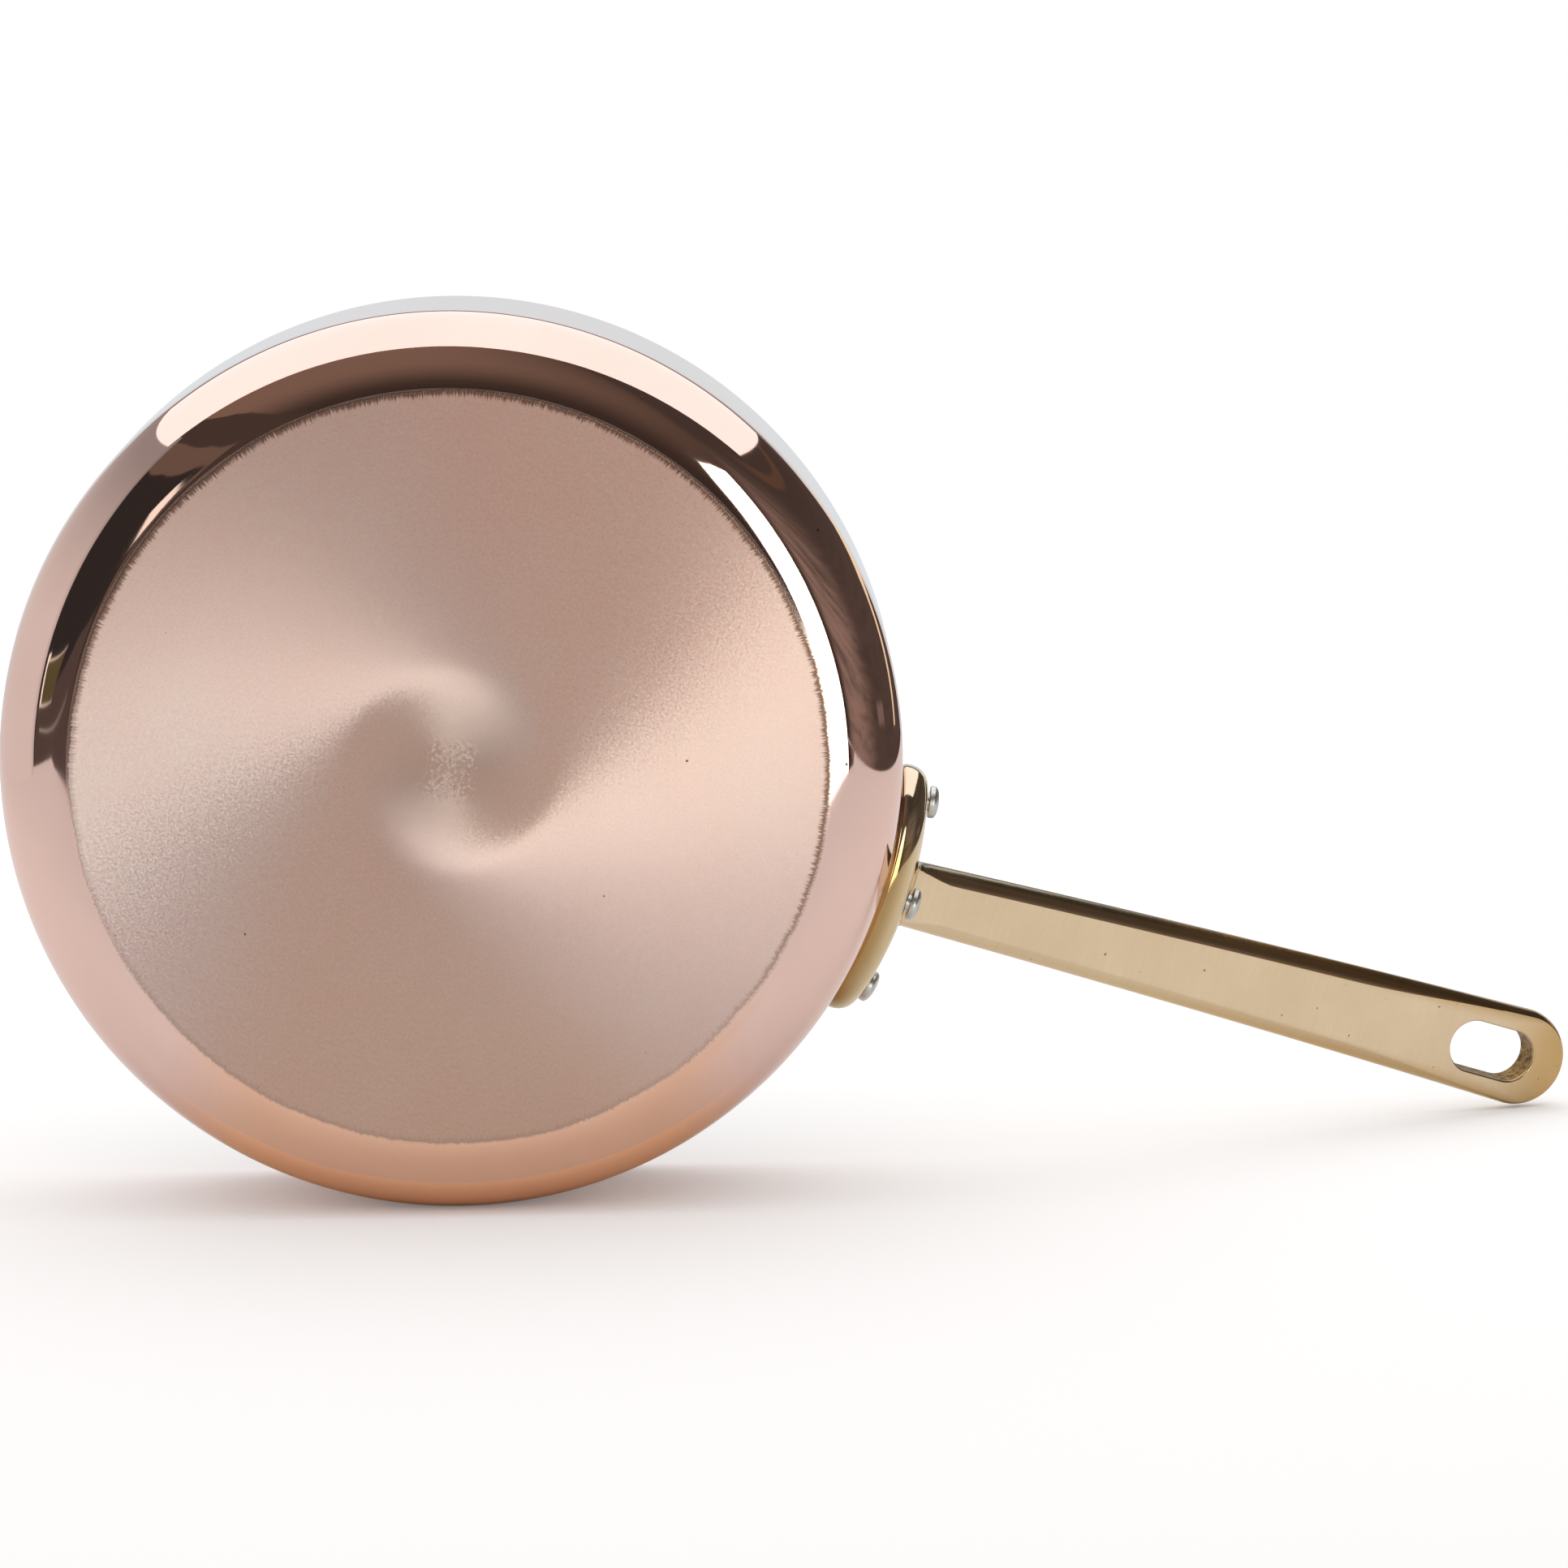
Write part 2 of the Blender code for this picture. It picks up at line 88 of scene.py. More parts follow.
CROWN_HEIGHT_POWER = 0.83
END_MARGIN = 0.00003  # keeps the round end inside the solid's box
ROUND_START = BAR_LENGTH - BAR_WIDTHS[1] / 2 - END_MARGIN

HOLE_LENGTH = 0.0270
HOLE_WIDTH = 0.0150
HOLE_END_MARGIN = 0.0110
HOLE_EASE = 0.0005
HOLE_MIDDLE = BAR_LENGTH - HOLE_END_MARGIN - HOLE_LENGTH / 2

SHANK_RADIUS = 0.0025
HEAD_RADIUS = 0.0045
HEAD_HEIGHT = 0.0028
HEAD_EDGE_SHARE = 0.42  # share of the head's height that is straight edge
HEAD_DOME_POWER = 0.8  # under 1 makes the dome fuller
HEAD_FOOT = ((0.0, 0.0003), (0.0001, 0.0001), (0.0003, 0.0))  # (inward, up) of its eased foot
INNER_HEAD_RADIUS = 0.0050
INNER_HEAD_HEIGHT = 0.0019
RIVET_CLEARANCE = 0.0003
RIVETS = {"rivet_left": (0.0252, 0.0490), "rivet_right": (-0.0252, 0.0490),
          "rivet_lower": (0.0, 0.0370)}
RIVET_SPIN = 0.6  # radians from one rivet's facets to the next one's
RIVET_SHIFT = 1.7  # the same for their textures, in metres
OVERCUT = 0.002

# The brushed disc on the base
DISC_RADIUS = 0.1016
DISC_MARGIN = 0.0009  # how far outside that radius the ragged edge may reach

# Fineness of the meshes
PAN_SEGMENTS = 256
COPPER_CORNER_STEPS = 26
LINING_CORNER_STEPS = 22
RIM_STEPS = 6
INNER_RIM_STEPS = 3
BASE_RING_SHARES = (0.3, 0.6)  # rings on the flat base, as shares of the radius
WALL_RING_DROPS = (0.02, 0.0012)  # rings on the wall, from the rim down
HOLE_SEGMENTS = 40
RIVET_SEGMENTS = 56
DOME_STEPS = 15
INNER_DOME_STEPS = 12
FLANGE_SEGMENTS = 160
FLANGE_BACK_STEPS = 5
FLANGE_NOSE_STEPS = 16
FLANGE_BACK_SHARES = (0.25, 0.5, 0.75, 1.0)
FLANGE_FRONT_SHARES = (0.9, 0.8, 0.7, 0.6, 0.5, 0.4, 0.3, 0.2, 0.1)
FLANK_STEPS = 12
CROWN_STEPS = 12
FILLET_STATIONS = (0.0, 0.04, 0.1, 0.18, 0.28, 0.4, 0.55, 0.72, 0.9, 1.1, 1.4, 1.8)
FILLET_CLEAR = 2.3  # where the even stations start, in fillet radii
BAR_STATIONS = 60
TIP_STEPS = 48
LIP_STEPS = 4
HOLE_END_STEPS = 24
SHARP_ANGLE = radians(38)  # a steeper edge is shaded as an edge

# Camera and the photograph's floor, fitted to the photograph
LENS = 161.63
SENSOR = 36.0
CAMERA_PLACE = (-0.018744, -0.263171, -1.867263)
CAMERA_RIGHT = (0.947139, -0.320589, -0.012274)
CAMERA_DOWN = (0.315972, 0.938762, -0.137434)
CAMERA_AHEAD = (0.055582, 0.126291, 0.990435)
FLOOR_TURN = radians(19.56)  # lays the pan on its wall and the handle's tip

HANDLE_DIP = radians(18.7)  # of the handle below the photograph's level
STUDIO_RIGHT = Vector((cos(HANDLE_DIP), -sin(HANDLE_DIP), 0.0))
STUDIO_UP = Vector((-sin(HANDLE_DIP), -cos(HANDLE_DIP), 0.0))
STUDIO_FRONT = Vector((0.0, 0.0, -1.0))


# Mesh building

def smooth_shaded(mesh):
    """Shade a mesh smooth except across its sharp edges."""
    mesh.shade_smooth()
    mesh.set_sharp_from_angle(angle=SHARP_ANGLE)


def mesh_object(name, bm):
    """An object with outward faces, smooth except across sharp edges."""
    bmesh.ops.recalc_face_normals(bm, faces=bm.faces[:])
    mesh = bpy.data.meshes.new(name)
    bm.to_mesh(mesh)
    bm.free()
    smooth_shaded(mesh)
    obj = bpy.data.objects.new(name, mesh)
    bpy.context.scene.collection.objects.link(obj)
    return obj


def even_steps(whole, count):
    """Values from 0 to a whole in even steps."""
    return [whole * i / count for i in range(count + 1)]


def bridge(bm, rings, closed=True):
    """Quads between neighbouring rings of vertices; a ring of one vertex is a pole."""
    for lower, upper in zip(rings, rings[1:]):
        count = max(len(lower), len(upper))
        for i in range(count if closed else count - 1):
            j = (i + 1) % count
            if len(lower) == 1:
                bm.faces.new((lower[0], upper[j], upper[i]))
            elif len(upper) == 1:
                bm.faces.new((lower[i], lower[j], upper[0]))
            else:
                bm.faces.new((lower[i], lower[j], upper[j], upper[i]))


def revolved(name, profile, segments, matrix=None):
    """A closed solid turned about Z from (radius, height) points."""
    bm = bmesh.new()
    turns = even_steps(2 * pi, segments)[:-1]
    rings = [[bm.verts.new((radius * cos(turn), radius * sin(turn), height))
              for turn in (turns if radius > 0 else [0.0])] for radius, height in profile]
    bridge(bm, rings)
    if matrix is not None:
        bm.transform(matrix)
    return mesh_object(name, bm)


def arc(centre_radius, centre_height, radius, start, end, steps):
    """Profile points on an arc; angles are in degrees from +X towards +Z."""
    angles = [radians(start + turn) for turn in even_steps(end - start, steps)]
    return [(centre_radius + radius * cos(angle), centre_height + radius * sin(angle))
            for angle in angles]


def combine(obj, operation, others):
    """Apply exact booleans to an object and remove the solids that they used."""
    for other in others:
        boolean = obj.modifiers.new(other.name, "BOOLEAN")
        boolean.operation = operation
        boolean.solver = "EXACT"
        boolean.object = other
    bpy.context.view_layer.update()
    evaluated = obj.evaluated_get(bpy.context.evaluated_depsgraph_get())
    old, obj.data = obj.data, bpy.data.meshes.new_from_object(evaluated)
    obj.modifiers.clear()
    bpy.data.meshes.remove(old)
    for other in others:
        bpy.data.objects.remove(other, do_unlink=True)
    smooth_shaded(obj.data)


def weighted(obj):
    """Let the large faces set the shading next to small edge faces."""
    modifier = obj.modifiers.new("Shading", "WEIGHTED_NORMAL")
    modifier.weight = 60
    modifier.keep_sharp = True


# Rivets and the holes that they go through

def rivet_matrix(along, height):
    """Places a rivet whose own +Z runs outward through the wall at this spot."""
    turn = Matrix.Rotation(along / WALL_RADIUS, 4, "Z") @ Matrix.Rotation(pi / 2, 4, "Y")
    return Matrix.Translation((0.0, 0.0, height)) @ turn


def front_radius(along, up):
    """Distance of the flange's crowned front from the pan's axis, at a spot on it."""
    power = FLANGE_SQUARENESS
    across = abs(along) / (FLANGE_WIDTH / 2 - FLANGE_NOSE)
    height = abs(up) / (FLANGE_HEIGHT / 2 - FLANGE_NOSE)
    share = min((across ** power + height ** power) ** (1 / power), 1.0)
    return FLANGE_FRONT_RADIUS - FLANGE_CROWN * share ** 2


def rivet_seat(along, height):
    """Radius at which an outer head sits."""
    up = height - FLANGE_CENTRE_Z
    reach = hypot(along, up)
    inward = max(reach - HEAD_RADIUS, 0.0) / reach
    return front_radius(along * inward, up * inward) + SEAT_GAP


def rivet_holes():
    """Cutters for the three rivet holes."""
    inside = LINING_INNER_RADIUS - OVERCUT
    outside = FLANGE_FRONT_RADIUS + OVERCUT
    radius = SHANK_RADIUS + RIVET_CLEARANCE
    profile = [(0.0, outside), (radius, outside), (radius, inside), (0.0, inside)]
    return [revolved(name + "_hole", profile, HOLE_SEGMENTS, rivet_matrix(*spot))
            for name, spot in RIVETS.items()]


def make_rivet(name, along, height, spin):
    """A rivet with a domed head outside and a flatter head inside the pan."""
    seat = rivet_seat(along, height)
    sag = LINING_INNER_RADIUS - sqrt(LINING_INNER_RADIUS ** 2 - INNER_HEAD_RADIUS ** 2)
    inner_seat = LINING_INNER_RADIUS - SEAT_GAP - sag
    edge = HEAD_HEIGHT * HEAD_EDGE_SHARE
    dome = HEAD_HEIGHT - edge
    profile = [(0.0, seat + HEAD_HEIGHT)]
    for turn in reversed(even_steps(pi / 2, DOME_STEPS)[1:-1]):
        profile.append((HEAD_RADIUS * cos(turn) ** HEAD_DOME_POWER,
                        seat + edge + dome * sin(turn)))
    profile.append((HEAD_RADIUS, seat + edge))
    profile += [(HEAD_RADIUS - inward, seat + up) for inward, up in HEAD_FOOT]
    profile += [(SHANK_RADIUS, seat), (SHANK_RADIUS, inner_seat)]
    for turn in even_steps(pi / 2, INNER_DOME_STEPS)[:-1]:
        profile.append((INNER_HEAD_RADIUS * cos(turn), inner_seat - INNER_HEAD_HEIGHT * sin(turn)))
    profile.append((0.0, inner_seat - INNER_HEAD_HEIGHT))
    matrix = rivet_matrix(along, height) @ Matrix.Rotation(spin, 4, "Z")
    return revolved(name + "_turned", profile, RIVET_SEGMENTS, matrix)


# The pan's two skins

def cup_profile(outer_radius, base, corner, thickness, ease, steps):
    """Profile of a straight-sided cup, from the inside of its base to the outside.

    Only the copper's rim is eased, and only its base has a ring round the brushed disc.
    """
    inner_radius = outer_radius - thickness
    inner_corner = corner - thickness
    points = [(0.0, base + thickness)]
    points += [(inner_radius * share, base + thickness) for share in BASE_RING_SHARES]
    points += arc(inner_radius - inner_corner, base + thickness + inner_corner, inner_corner,
                  -90, 0, steps)
    points += [(inner_radius, PAN_HEIGHT - drop) for drop in WALL_RING_DROPS]
    if ease > 0:
        points += arc(inner_radius + INNER_RIM_EASE, PAN_HEIGHT - INNER_RIM_EASE, INNER_RIM_EASE,
                      180, 90, INNER_RIM_STEPS)
        points += arc(outer_radius - ease, PAN_HEIGHT - ease, ease, 90, 0, RIM_STEPS)
        points.append((outer_radius, PAN_HEIGHT - WALL_RING_DROPS[1]))
    else:
        points += [(inner_radius + LINING_RIM_EASE, PAN_HEIGHT), (outer_radius, PAN_HEIGHT)]
    points.append((outer_radius, PAN_HEIGHT - WALL_RING_DROPS[0]))
    points += arc(outer_radius - corner, base + corner, corner, 0, -90, steps)
    if ease > 0:
        points.append((DISC_RADIUS + DISC_MARGIN, base))
    points += [(outer_radius * share, base) for share in reversed(BASE_RING_SHARES)]
    points.append((0.0, base))
    return points


def make_copper():
    """The copper cup; its brushed disc is a material of its own."""
    profile = cup_profile(WALL_RADIUS, 0.0, CORNER_RADIUS, COPPER, RIM_EASE, COPPER_CORNER_STEPS)
    cup = revolved("copper_cup", profile, PAN_SEGMENTS)
    combine(cup, "DIFFERENCE", rivet_holes())
    cup.data.materials.append(polished_copper())
    cup.data.materials.append(brushed_copper())
    for face in cup.data.polygons:
        centre = face.center
        on_base = centre.z < COPPER / 10
        if on_base and hypot(centre.x, centre.y) < DISC_RADIUS + DISC_MARGIN:
            face.material_index = 1
    weighted(cup)
    return cup


def make_lining():
    """The steel skin inside the copper."""
    inset = COPPER + BOND_GAP
    profile = cup_profile(WALL_RADIUS - inset, inset, CORNER_RADIUS - inset, LINING, 0.0,
                          LINING_CORNER_STEPS)
    skin = revolved("steel_skin", profile, PAN_SEGMENTS)
    combine(skin, "DIFFERENCE", rivet_holes())
    skin.data.materials.append(lining_steel())
    weighted(skin)
    return skin


# The handle

def smooth_step(value):
    """A smooth step from 0 to 1."""
    value = min(max(value, 0.0), 1.0)
    return value * value * (3 - 2 * value)


def oval(half_width, half_height, angle):
    """A point on the flange's outline, or on one drawn inside it."""
    power = 2 / FLANGE_SQUARENESS
    across = copysign(abs(cos(angle)) ** power, cos(angle))
    up = copysign(abs(sin(angle)) ** power, sin(angle))
    return half_width * across, half_height * up


def make_flange():
    """The saddle that lies against the wall."""
    shoulder = FLANGE_THICKNESS - FLANGE_CROWN
    outlines = [(FLANGE_BACK_ROUND, share, 0.0) for share in FLANGE_BACK_SHARES]
    for turn in even_steps(pi / 2, FLANGE_BACK_STEPS)[1:]:
        outlines.append((FLANGE_BACK_ROUND * (1 - sin(turn)), 1.0,
                         FLANGE_BACK_ROUND * (1 - cos(turn))))
    for turn in even_steps(pi / 2, FLANGE_NOSE_STEPS)[1:]:
        outlines.append((FLANGE_NOSE * (1 - cos(turn)), 1.0,
                         FLANGE_BACK_ROUND + (shoulder - FLANGE_BACK_ROUND) * sin(turn)))
    for share in FLANGE_FRONT_SHARES:
        outlines.append((FLANGE_NOSE, share, FLANGE_THICKNESS - FLANGE_CROWN * share ** 2))
    bm = bmesh.new()

    def on_wall(along, up, height):
        angle = along / WALL_RADIUS
        radius = FLANGE_BACK_RADIUS + height
        return bm.verts.new((radius * cos(angle), radius * sin(angle), FLANGE_CENTRE_Z + up))

    rings = [[on_wall(0.0, 0.0, 0.0)]]
    for inset, share, height in outlines:
        rings.append([on_wall(*oval((FLANGE_WIDTH / 2 - inset) * share,
                                    (FLANGE_HEIGHT / 2 - inset) * share, turn), height)
                      for turn in even_steps(2 * pi, FLANGE_SEGMENTS)[:-1]])
    rings.append([on_wall(0.0, 0.0, FLANGE_THICKNESS)])
    bridge(bm, rings)
    return mesh_object("handle_casting", bm)


def bar_rise(distance):
    """Slope of the handle's underside at a distance from the flange."""
    return BAR_RISE_ROOT + (BAR_RISE_TIP - BAR_RISE_ROOT) * distance / BAR_LENGTH


def bar_point(distance):
    """The middle of the handle's underside at a distance along its shallow arc."""
    half_turn = (bar_rise(distance) - BAR_RISE_ROOT) / 2
    chord = distance * (sin(half_turn) / half_turn if abs(half_turn) > 1e-6 else 1.0)
    slope = BAR_RISE_ROOT + half_turn
    return Vector((FLANGE_FRONT_RADIUS + chord * cos(slope), 0.0,
                   BAR_ROOT_Z + chord * sin(slope)))


def slope_axes(slope):
    """The directions along a slope and up from it."""
    return Vector((cos(slope), 0.0, sin(slope))), Vector((-sin(slope), 0.0, cos(slope)))


def bar_axes(distance):
    """The directions along the bar and up through its thickness."""
    return slope_axes(bar_rise(distance))


def bar_half_section(distance):
    """Half of the bar's section as (across, up) points, underside to top."""
    share = min(max(distance / ROUND_START, 0.0), 1.0)
    half_width = (BAR_WIDTHS[0] + (BAR_WIDTHS[1] - BAR_WIDTHS[0]) * share) / 2
    thickness = BAR_THICKNESSES[0] + (BAR_THICKNESSES[1] - BAR_THICKNESSES[0]) * share
    swell = smooth_step(distance / BAR_ROLL_START)
    draw_in = smooth_step((distance - ROUND_START + BAR_ROLL_END) / BAR_ROLL_END)
    roll = BAR_ROLLS[0] + (BAR_ROLLS[1] - BAR_ROLLS[0]) * swell
    roll += (BAR_ROLLS[2] - roll) * draw_in
    widest = thickness * BAR_WIDEST_SHARE
    edge_sine, edge_cosine = sin(BAR_EDGE_ANGLE), cos(BAR_EDGE_ANGLE)
    edge = half_width - roll
    points = [(0.0, 0.0), (edge / 2, 0.0)]
    points += [(edge - inset, 0.0) for inset in BAR_EDGE_SETS]
    points.append((edge + roll * BAR_EDGE_EASE[0], widest * BAR_EDGE_EASE[1]))
    for turn in even_steps(pi / 2 - BAR_EDGE_ANGLE, FLANK_STEPS)[1:]:
        angle = BAR_EDGE_ANGLE + turn
        out = (sin(angle) - edge_sine) / (1 - edge_sine)
        up = 1 - cos(angle) / edge_cosine
        points.append((edge + roll * out, widest * up))
    for angle in even_steps(pi / 2, CROWN_STEPS)[1:-1]:
        points.append((half_width * cos(angle) ** CROWN_WIDTH_POWER,
                       widest + (thickness - widest) * sin(angle) ** CROWN_HEIGHT_POWER))
    points.append((0.0, thickness))
    return points


def fillet_spread(reach):
    """How far the fillet at the root stands out at a distance off the flange."""
    if reach >= BAR_FILLET:
        return 0.0
    return BAR_FILLET - sqrt(BAR_FILLET ** 2 - (BAR_FILLET - max(reach, 0.0)) ** 2)


def bar_ring(bm, distance):
    """One ring of the bar, turned parallel to the flange near the root."""
    along, up = bar_axes(distance)
    at_root = 1 - smooth_step(distance / BAR_ROLL_START)
    up = up + along * (tan(bar_rise(distance)) * at_root)
    half = bar_half_section(distance)
    thickness = half[-1][1]
    spread = fillet_spread(distance * cos(bar_rise(distance)))
    origin = bar_point(distance)
    ring = []
    for across, height in half + [(-a, h) for a, h in reversed(half[1:-1])]:
        side = copysign(spread, across) if abs(across) > 1e-9 else 0.0
        lift = spread * (2 * height / thickness - 1)
        place = origin + Vector((0.0, across + side, 0.0)) + up * (height + lift)
        wall = front_radius(place.y, place.z - FLANGE_CENTRE_Z)
        fall = FLANGE_FRONT_RADIUS - sqrt(wall ** 2 - place.y ** 2)
        place.x -= (fall + ROOT_SINK) * at_root
        ring.append(bm.verts.new(place))
    return ring


def make_bar():
    """The bar: a loft along a shallow arc, with a turned round end."""
    near = [BAR_FILLET * share for share in FILLET_STATIONS]
    start = BAR_FILLET * FILLET_CLEAR
    far = [start + further for further in even_steps(ROUND_START - start, BAR_STATIONS)]
    bm = bmesh.new()
    rings = [bar_ring(bm, distance) for distance in [-FLANGE_THICKNESS / 2] + near + far]
    bm.faces.new(rings[0])
    bridge(bm, rings)
    half = bar_half_section(ROUND_START)
    along, up = bar_axes(ROUND_START)
    origin = bar_point(ROUND_START)
    last = rings[-1]
    bottom, top = last[0], last[len(half) - 1]
    fans = [last[1:len(half) - 1]]
    for turn in even_steps(pi, TIP_STEPS)[1:-1]:
        outward = Vector((0.0, cos(turn), 0.0)) + along * sin(turn)
        fans.append([bm.verts.new(origin + outward * across + up * height)
                     for across, height in half[1:-1]])
    fans.append(list(reversed(last[len(half):])))
    for here, there in zip(fans, fans[1:]):
        bm.faces.new((bottom, here[0], there[0]))
        for i in range(len(here) - 1):
            bm.faces.new((here[i], here[i + 1], there[i + 1], there[i]))
        bm.faces.new((top, there[-1], here[-1]))
    return mesh_object("bar", bm)


def make_hole_cutter():
    """A cutter for the hanging hole, wider at both mouths for their rounded lips."""
    along, up = bar_axes(HOLE_MIDDLE)
    origin = bar_point(HOLE_MIDDLE)
    thickness = BAR_THICKNESSES[1]
    lip = [(HOLE_EASE * (1 - cos(turn)), HOLE_EASE * (1 - sin(turn)))
           for turn in even_steps(pi / 2, LIP_STEPS)]
    levels = [(-OVERCUT, HOLE_EASE)] + lip
    levels += [(thickness - height, grow) for height, grow in reversed(lip)]
    levels += [(thickness + OVERCUT, HOLE_EASE)]
    radius = HOLE_WIDTH / 2
    reach = HOLE_LENGTH / 2 - radius
    bm = bmesh.new()
    rings = []
    for height, grow in levels:
        ring = []
        for start, middle in ((-pi / 2, reach), (pi / 2, -reach)):
            for turn in even_steps(pi, HOLE_END_STEPS):
                angle = start + turn
                ring.append(bm.verts.new(
                    origin + along * (middle + (radius + grow) * cos(angle))
                    + Vector((0.0, (radius + grow) * sin(angle), 0.0)) + up * height))
        rings.append(ring)
    bm.faces.new(rings[0])
    bm.faces.new(list(reversed(rings[-1])))
    bridge(bm, rings)
    return mesh_object("hole", bm)


def make_handle():
    """Flange and bar in one casting, with the hanging hole and the rivet holes."""
    handle = make_flange()
    combine(handle, "UNION", [make_bar()])
    combine(handle, "DIFFERENCE", [make_hole_cutter()])
    combine(handle, "DIFFERENCE", rivet_holes())
    handle.data.materials.append(cast_brass())
    weighted(handle)
    return handle


# Materials

def rgb(red, green, blue):
    """A linear colour with full alpha."""
    return (red, green, blue, 1.0)


class Nodes:
    """A node tree that is built by short calls."""

    def __init__(self, tree):
        self.tree = tree

    def node(self, kind, inputs=None, **settings):
        """A node with its settings, and its inputs linked or given a value."""
        made = self.tree.nodes.new(kind)
        for key, value in settings.items():
            setattr(made, key, value)
        for key, value in (inputs or {}).items():
            if isinstance(value, bpy.types.NodeSocket):
                self.tree.links.new(value, made.inputs[key])
            else:
                made.inputs[key].default_value = value
        return made

    def calc(self, operation, *values):
        """A Math node."""
        return self.node("ShaderNodeMath", dict(enumerate(values)), operation=operation).outputs[0]

    def arrow(self, operation, *values):
        """A Vector Math node that gives a vector."""
        return self.node("ShaderNodeVectorMath", dict(enumerate(values)),
                         operation=operation).outputs["Vector"]

    def total(self, *values):
        """The sum of several values."""
        return reduce(lambda first, second: self.calc("ADD", first, second), values)

    def product(self, *values):
        """The product of several values."""
        return reduce(lambda first, second: self.calc("MULTIPLY", first, second), values)

    def length(self, across, along):
        """The length of two values at right angles."""
        return self.calc("SQRT", self.total(self.product(across, across),
                                            self.product(along, along)))

    def ranged(self, value, low, high, to_low=0.0, to_high=1.0, kind="SMOOTHSTEP"):
        """A value mapped from one range to another, held inside it."""
        inputs = {0: value, 1: low, 2: high, 3: to_low, 4: to_high}
        return self.node("ShaderNodeMapRange", inputs, interpolation_type=kind).outputs[0]

    def swing(self, noise, to_low, to_high, low=0.3, high=0.7):
        """A noise's middle range spread evenly over another range."""
        return self.ranged(noise, low, high, to_low, to_high, "LINEAR")

    def band(self, value, low, high, blur):
        """1 between two levels, 0 outside them, with blurred ends."""
        return self.product(self.ranged(value, low - blur, low + blur),
                            self.ranged(value, high - blur, high + blur, 1.0, 0.0))

    def mix(self, share, first, second):
        """Two values mixed by a share."""
        return self.node("ShaderNodeMix", {0: share, 2: first, 3: second}).outputs[0]

    def blend(self, share, first, second):
        """Two colours mixed by a share."""
        inputs = {0: share, 6: first, 7: second}
        return self.node("ShaderNodeMix", inputs, data_type="RGBA").outputs[2]

    def layered(self, colour, *layers):
        """A colour under others, which are given as (share, colour) pairs."""
        for share, over in layers:
            colour = self.blend(share, colour, over)
        return colour

    def noise(self, vector, scale=1.0, detail=3.0, rough=0.55, distortion=0.0):
        """A noise value around 0.5."""
        inputs = {"Vector": vector, "Scale": scale, "Detail": detail, "Roughness": rough,
                  "Distortion": distortion}
        return self.node("ShaderNodeTexNoise", inputs).outputs[0]

    def vector(self, x, y, z):
        """A vector from three values."""
        return self.node("ShaderNodeCombineXYZ", {0: x, 1: y, 2: z}).outputs[0]

    def curve(self, value, points):
        """A value looked up on a curve from 0 to 1."""
        made = self.node("ShaderNodeFloatCurve", {"Value": value})
        line = made.mapping.curves[0]
        line.points[0].location = points[0]
        line.points[1].location = points[-1]
        for x, y in points[1:-1]:
            line.points.new(x, y)
        made.mapping.update()
        return made.outputs[0]


class Recipe(Nodes):
    """A material whose values come from nodes in the object's own space."""

    def __init__(self, name):
        self.material = bpy.data.materials.new(name)
        self.material.use_nodes = True
        super().__init__(self.material.node_tree)
        self.place = self.node("ShaderNodeTexCoord").outputs["Object"]
        self.x, self.y, self.z = self.node("ShaderNodeSeparateXYZ", {0: self.place}).outputs

    def dot(self, direction):
        """The place's coordinate along a direction."""
        return self.node("ShaderNodeVectorMath", {0: self.place, 1: direction},
                         operation="DOT_PRODUCT").outputs["Value"]

    def show(self, shader):
        """Make a shader the material's surface."""
        nodes = self.tree.nodes
        nodes.remove(nodes["Principled BSDF"])
        self.tree.links.new(shader, nodes["Material Output"].inputs["Surface"])
        return self.material

    def glow(self, colour, strength):
        """Make the material give off light alone."""
        light = self.node("ShaderNodeEmission", {"Color": colour, "Strength": strength})
        return self.show(light.outputs[0])


class Metal(Recipe):
    """A metal: its colour, roughness, bump and grain are linked to one Principled shader."""

    def __init__(self, name, anisotropic=0.0, metallic=1.0):
        super().__init__(name)
        self.shader = self.tree.nodes["Principled BSDF"]
        self.shader.inputs["Metallic"].default_value = metallic
        self.shader.inputs["Anisotropic"].default_value = anisotropic

    def around(self, reach, turns, depth, fineness):
        """Coordinates that change slowly round the axis and fast with a depth."""
        return self.vector(self.product(self.calc("DIVIDE", self.x, reach), turns),
                           self.product(self.calc("DIVIDE", self.y, reach), turns),
                           self.product(depth, fineness))

    def bump(self, height, strength, distance, normal=None):
        """A bump's normal."""
        inputs = {"Height": height, "Strength": strength, "Distance": distance}
        if normal is not None:
            inputs["Normal"] = normal
        return self.node("ShaderNodeBump", inputs).outputs[0]

    def finish(self, colour, roughness, normal, tangent=None):
        """Link the shader's inputs."""
        for key, value in (("Base Color", colour), ("Roughness", roughness),
                           ("Normal", normal), ("Tangent", tangent)):
            if value is not None:
                self.tree.links.new(value, self.shader.inputs[key])
        return self.material


COPPER_COLOUR = rgb(0.93, 0.655, 0.575)
MIRROR_ROUGHNESS = 0.06

# How far the disc's grooves are turned from the radius, as shares of GROOVE_TURN,
# against the distance from the middle as a share of the disc's radius
GROOVE_TURN = radians(125.0)
GROOVE_CURVE = ((0.0, 0.96), (0.10, 0.96), (0.175, 0.96), (0.235, 0.848), (0.32, 0.52),
                (0.43, 0.394), (0.64, 0.296), (1.0, 0.189))
GROOVE_STRAY = 0.16  # radians that the grain turns them
CENTRE_STRAY = 2.0  # the same at the middle, where they have no order

# The disc's ragged edge, in metres
EDGE_HAIRS = 0.0004  # how far its hairs reach either way
EDGE_WANDER = 0.0003
EDGE_BLUR = 0.0002
BURNT_HAIRS = 0.0006
BURNT_START = DISC_RADIUS - 0.0017
BURNT_END = DISC_RADIUS - 0.0004
SOOT_WIDTH = 0.0007


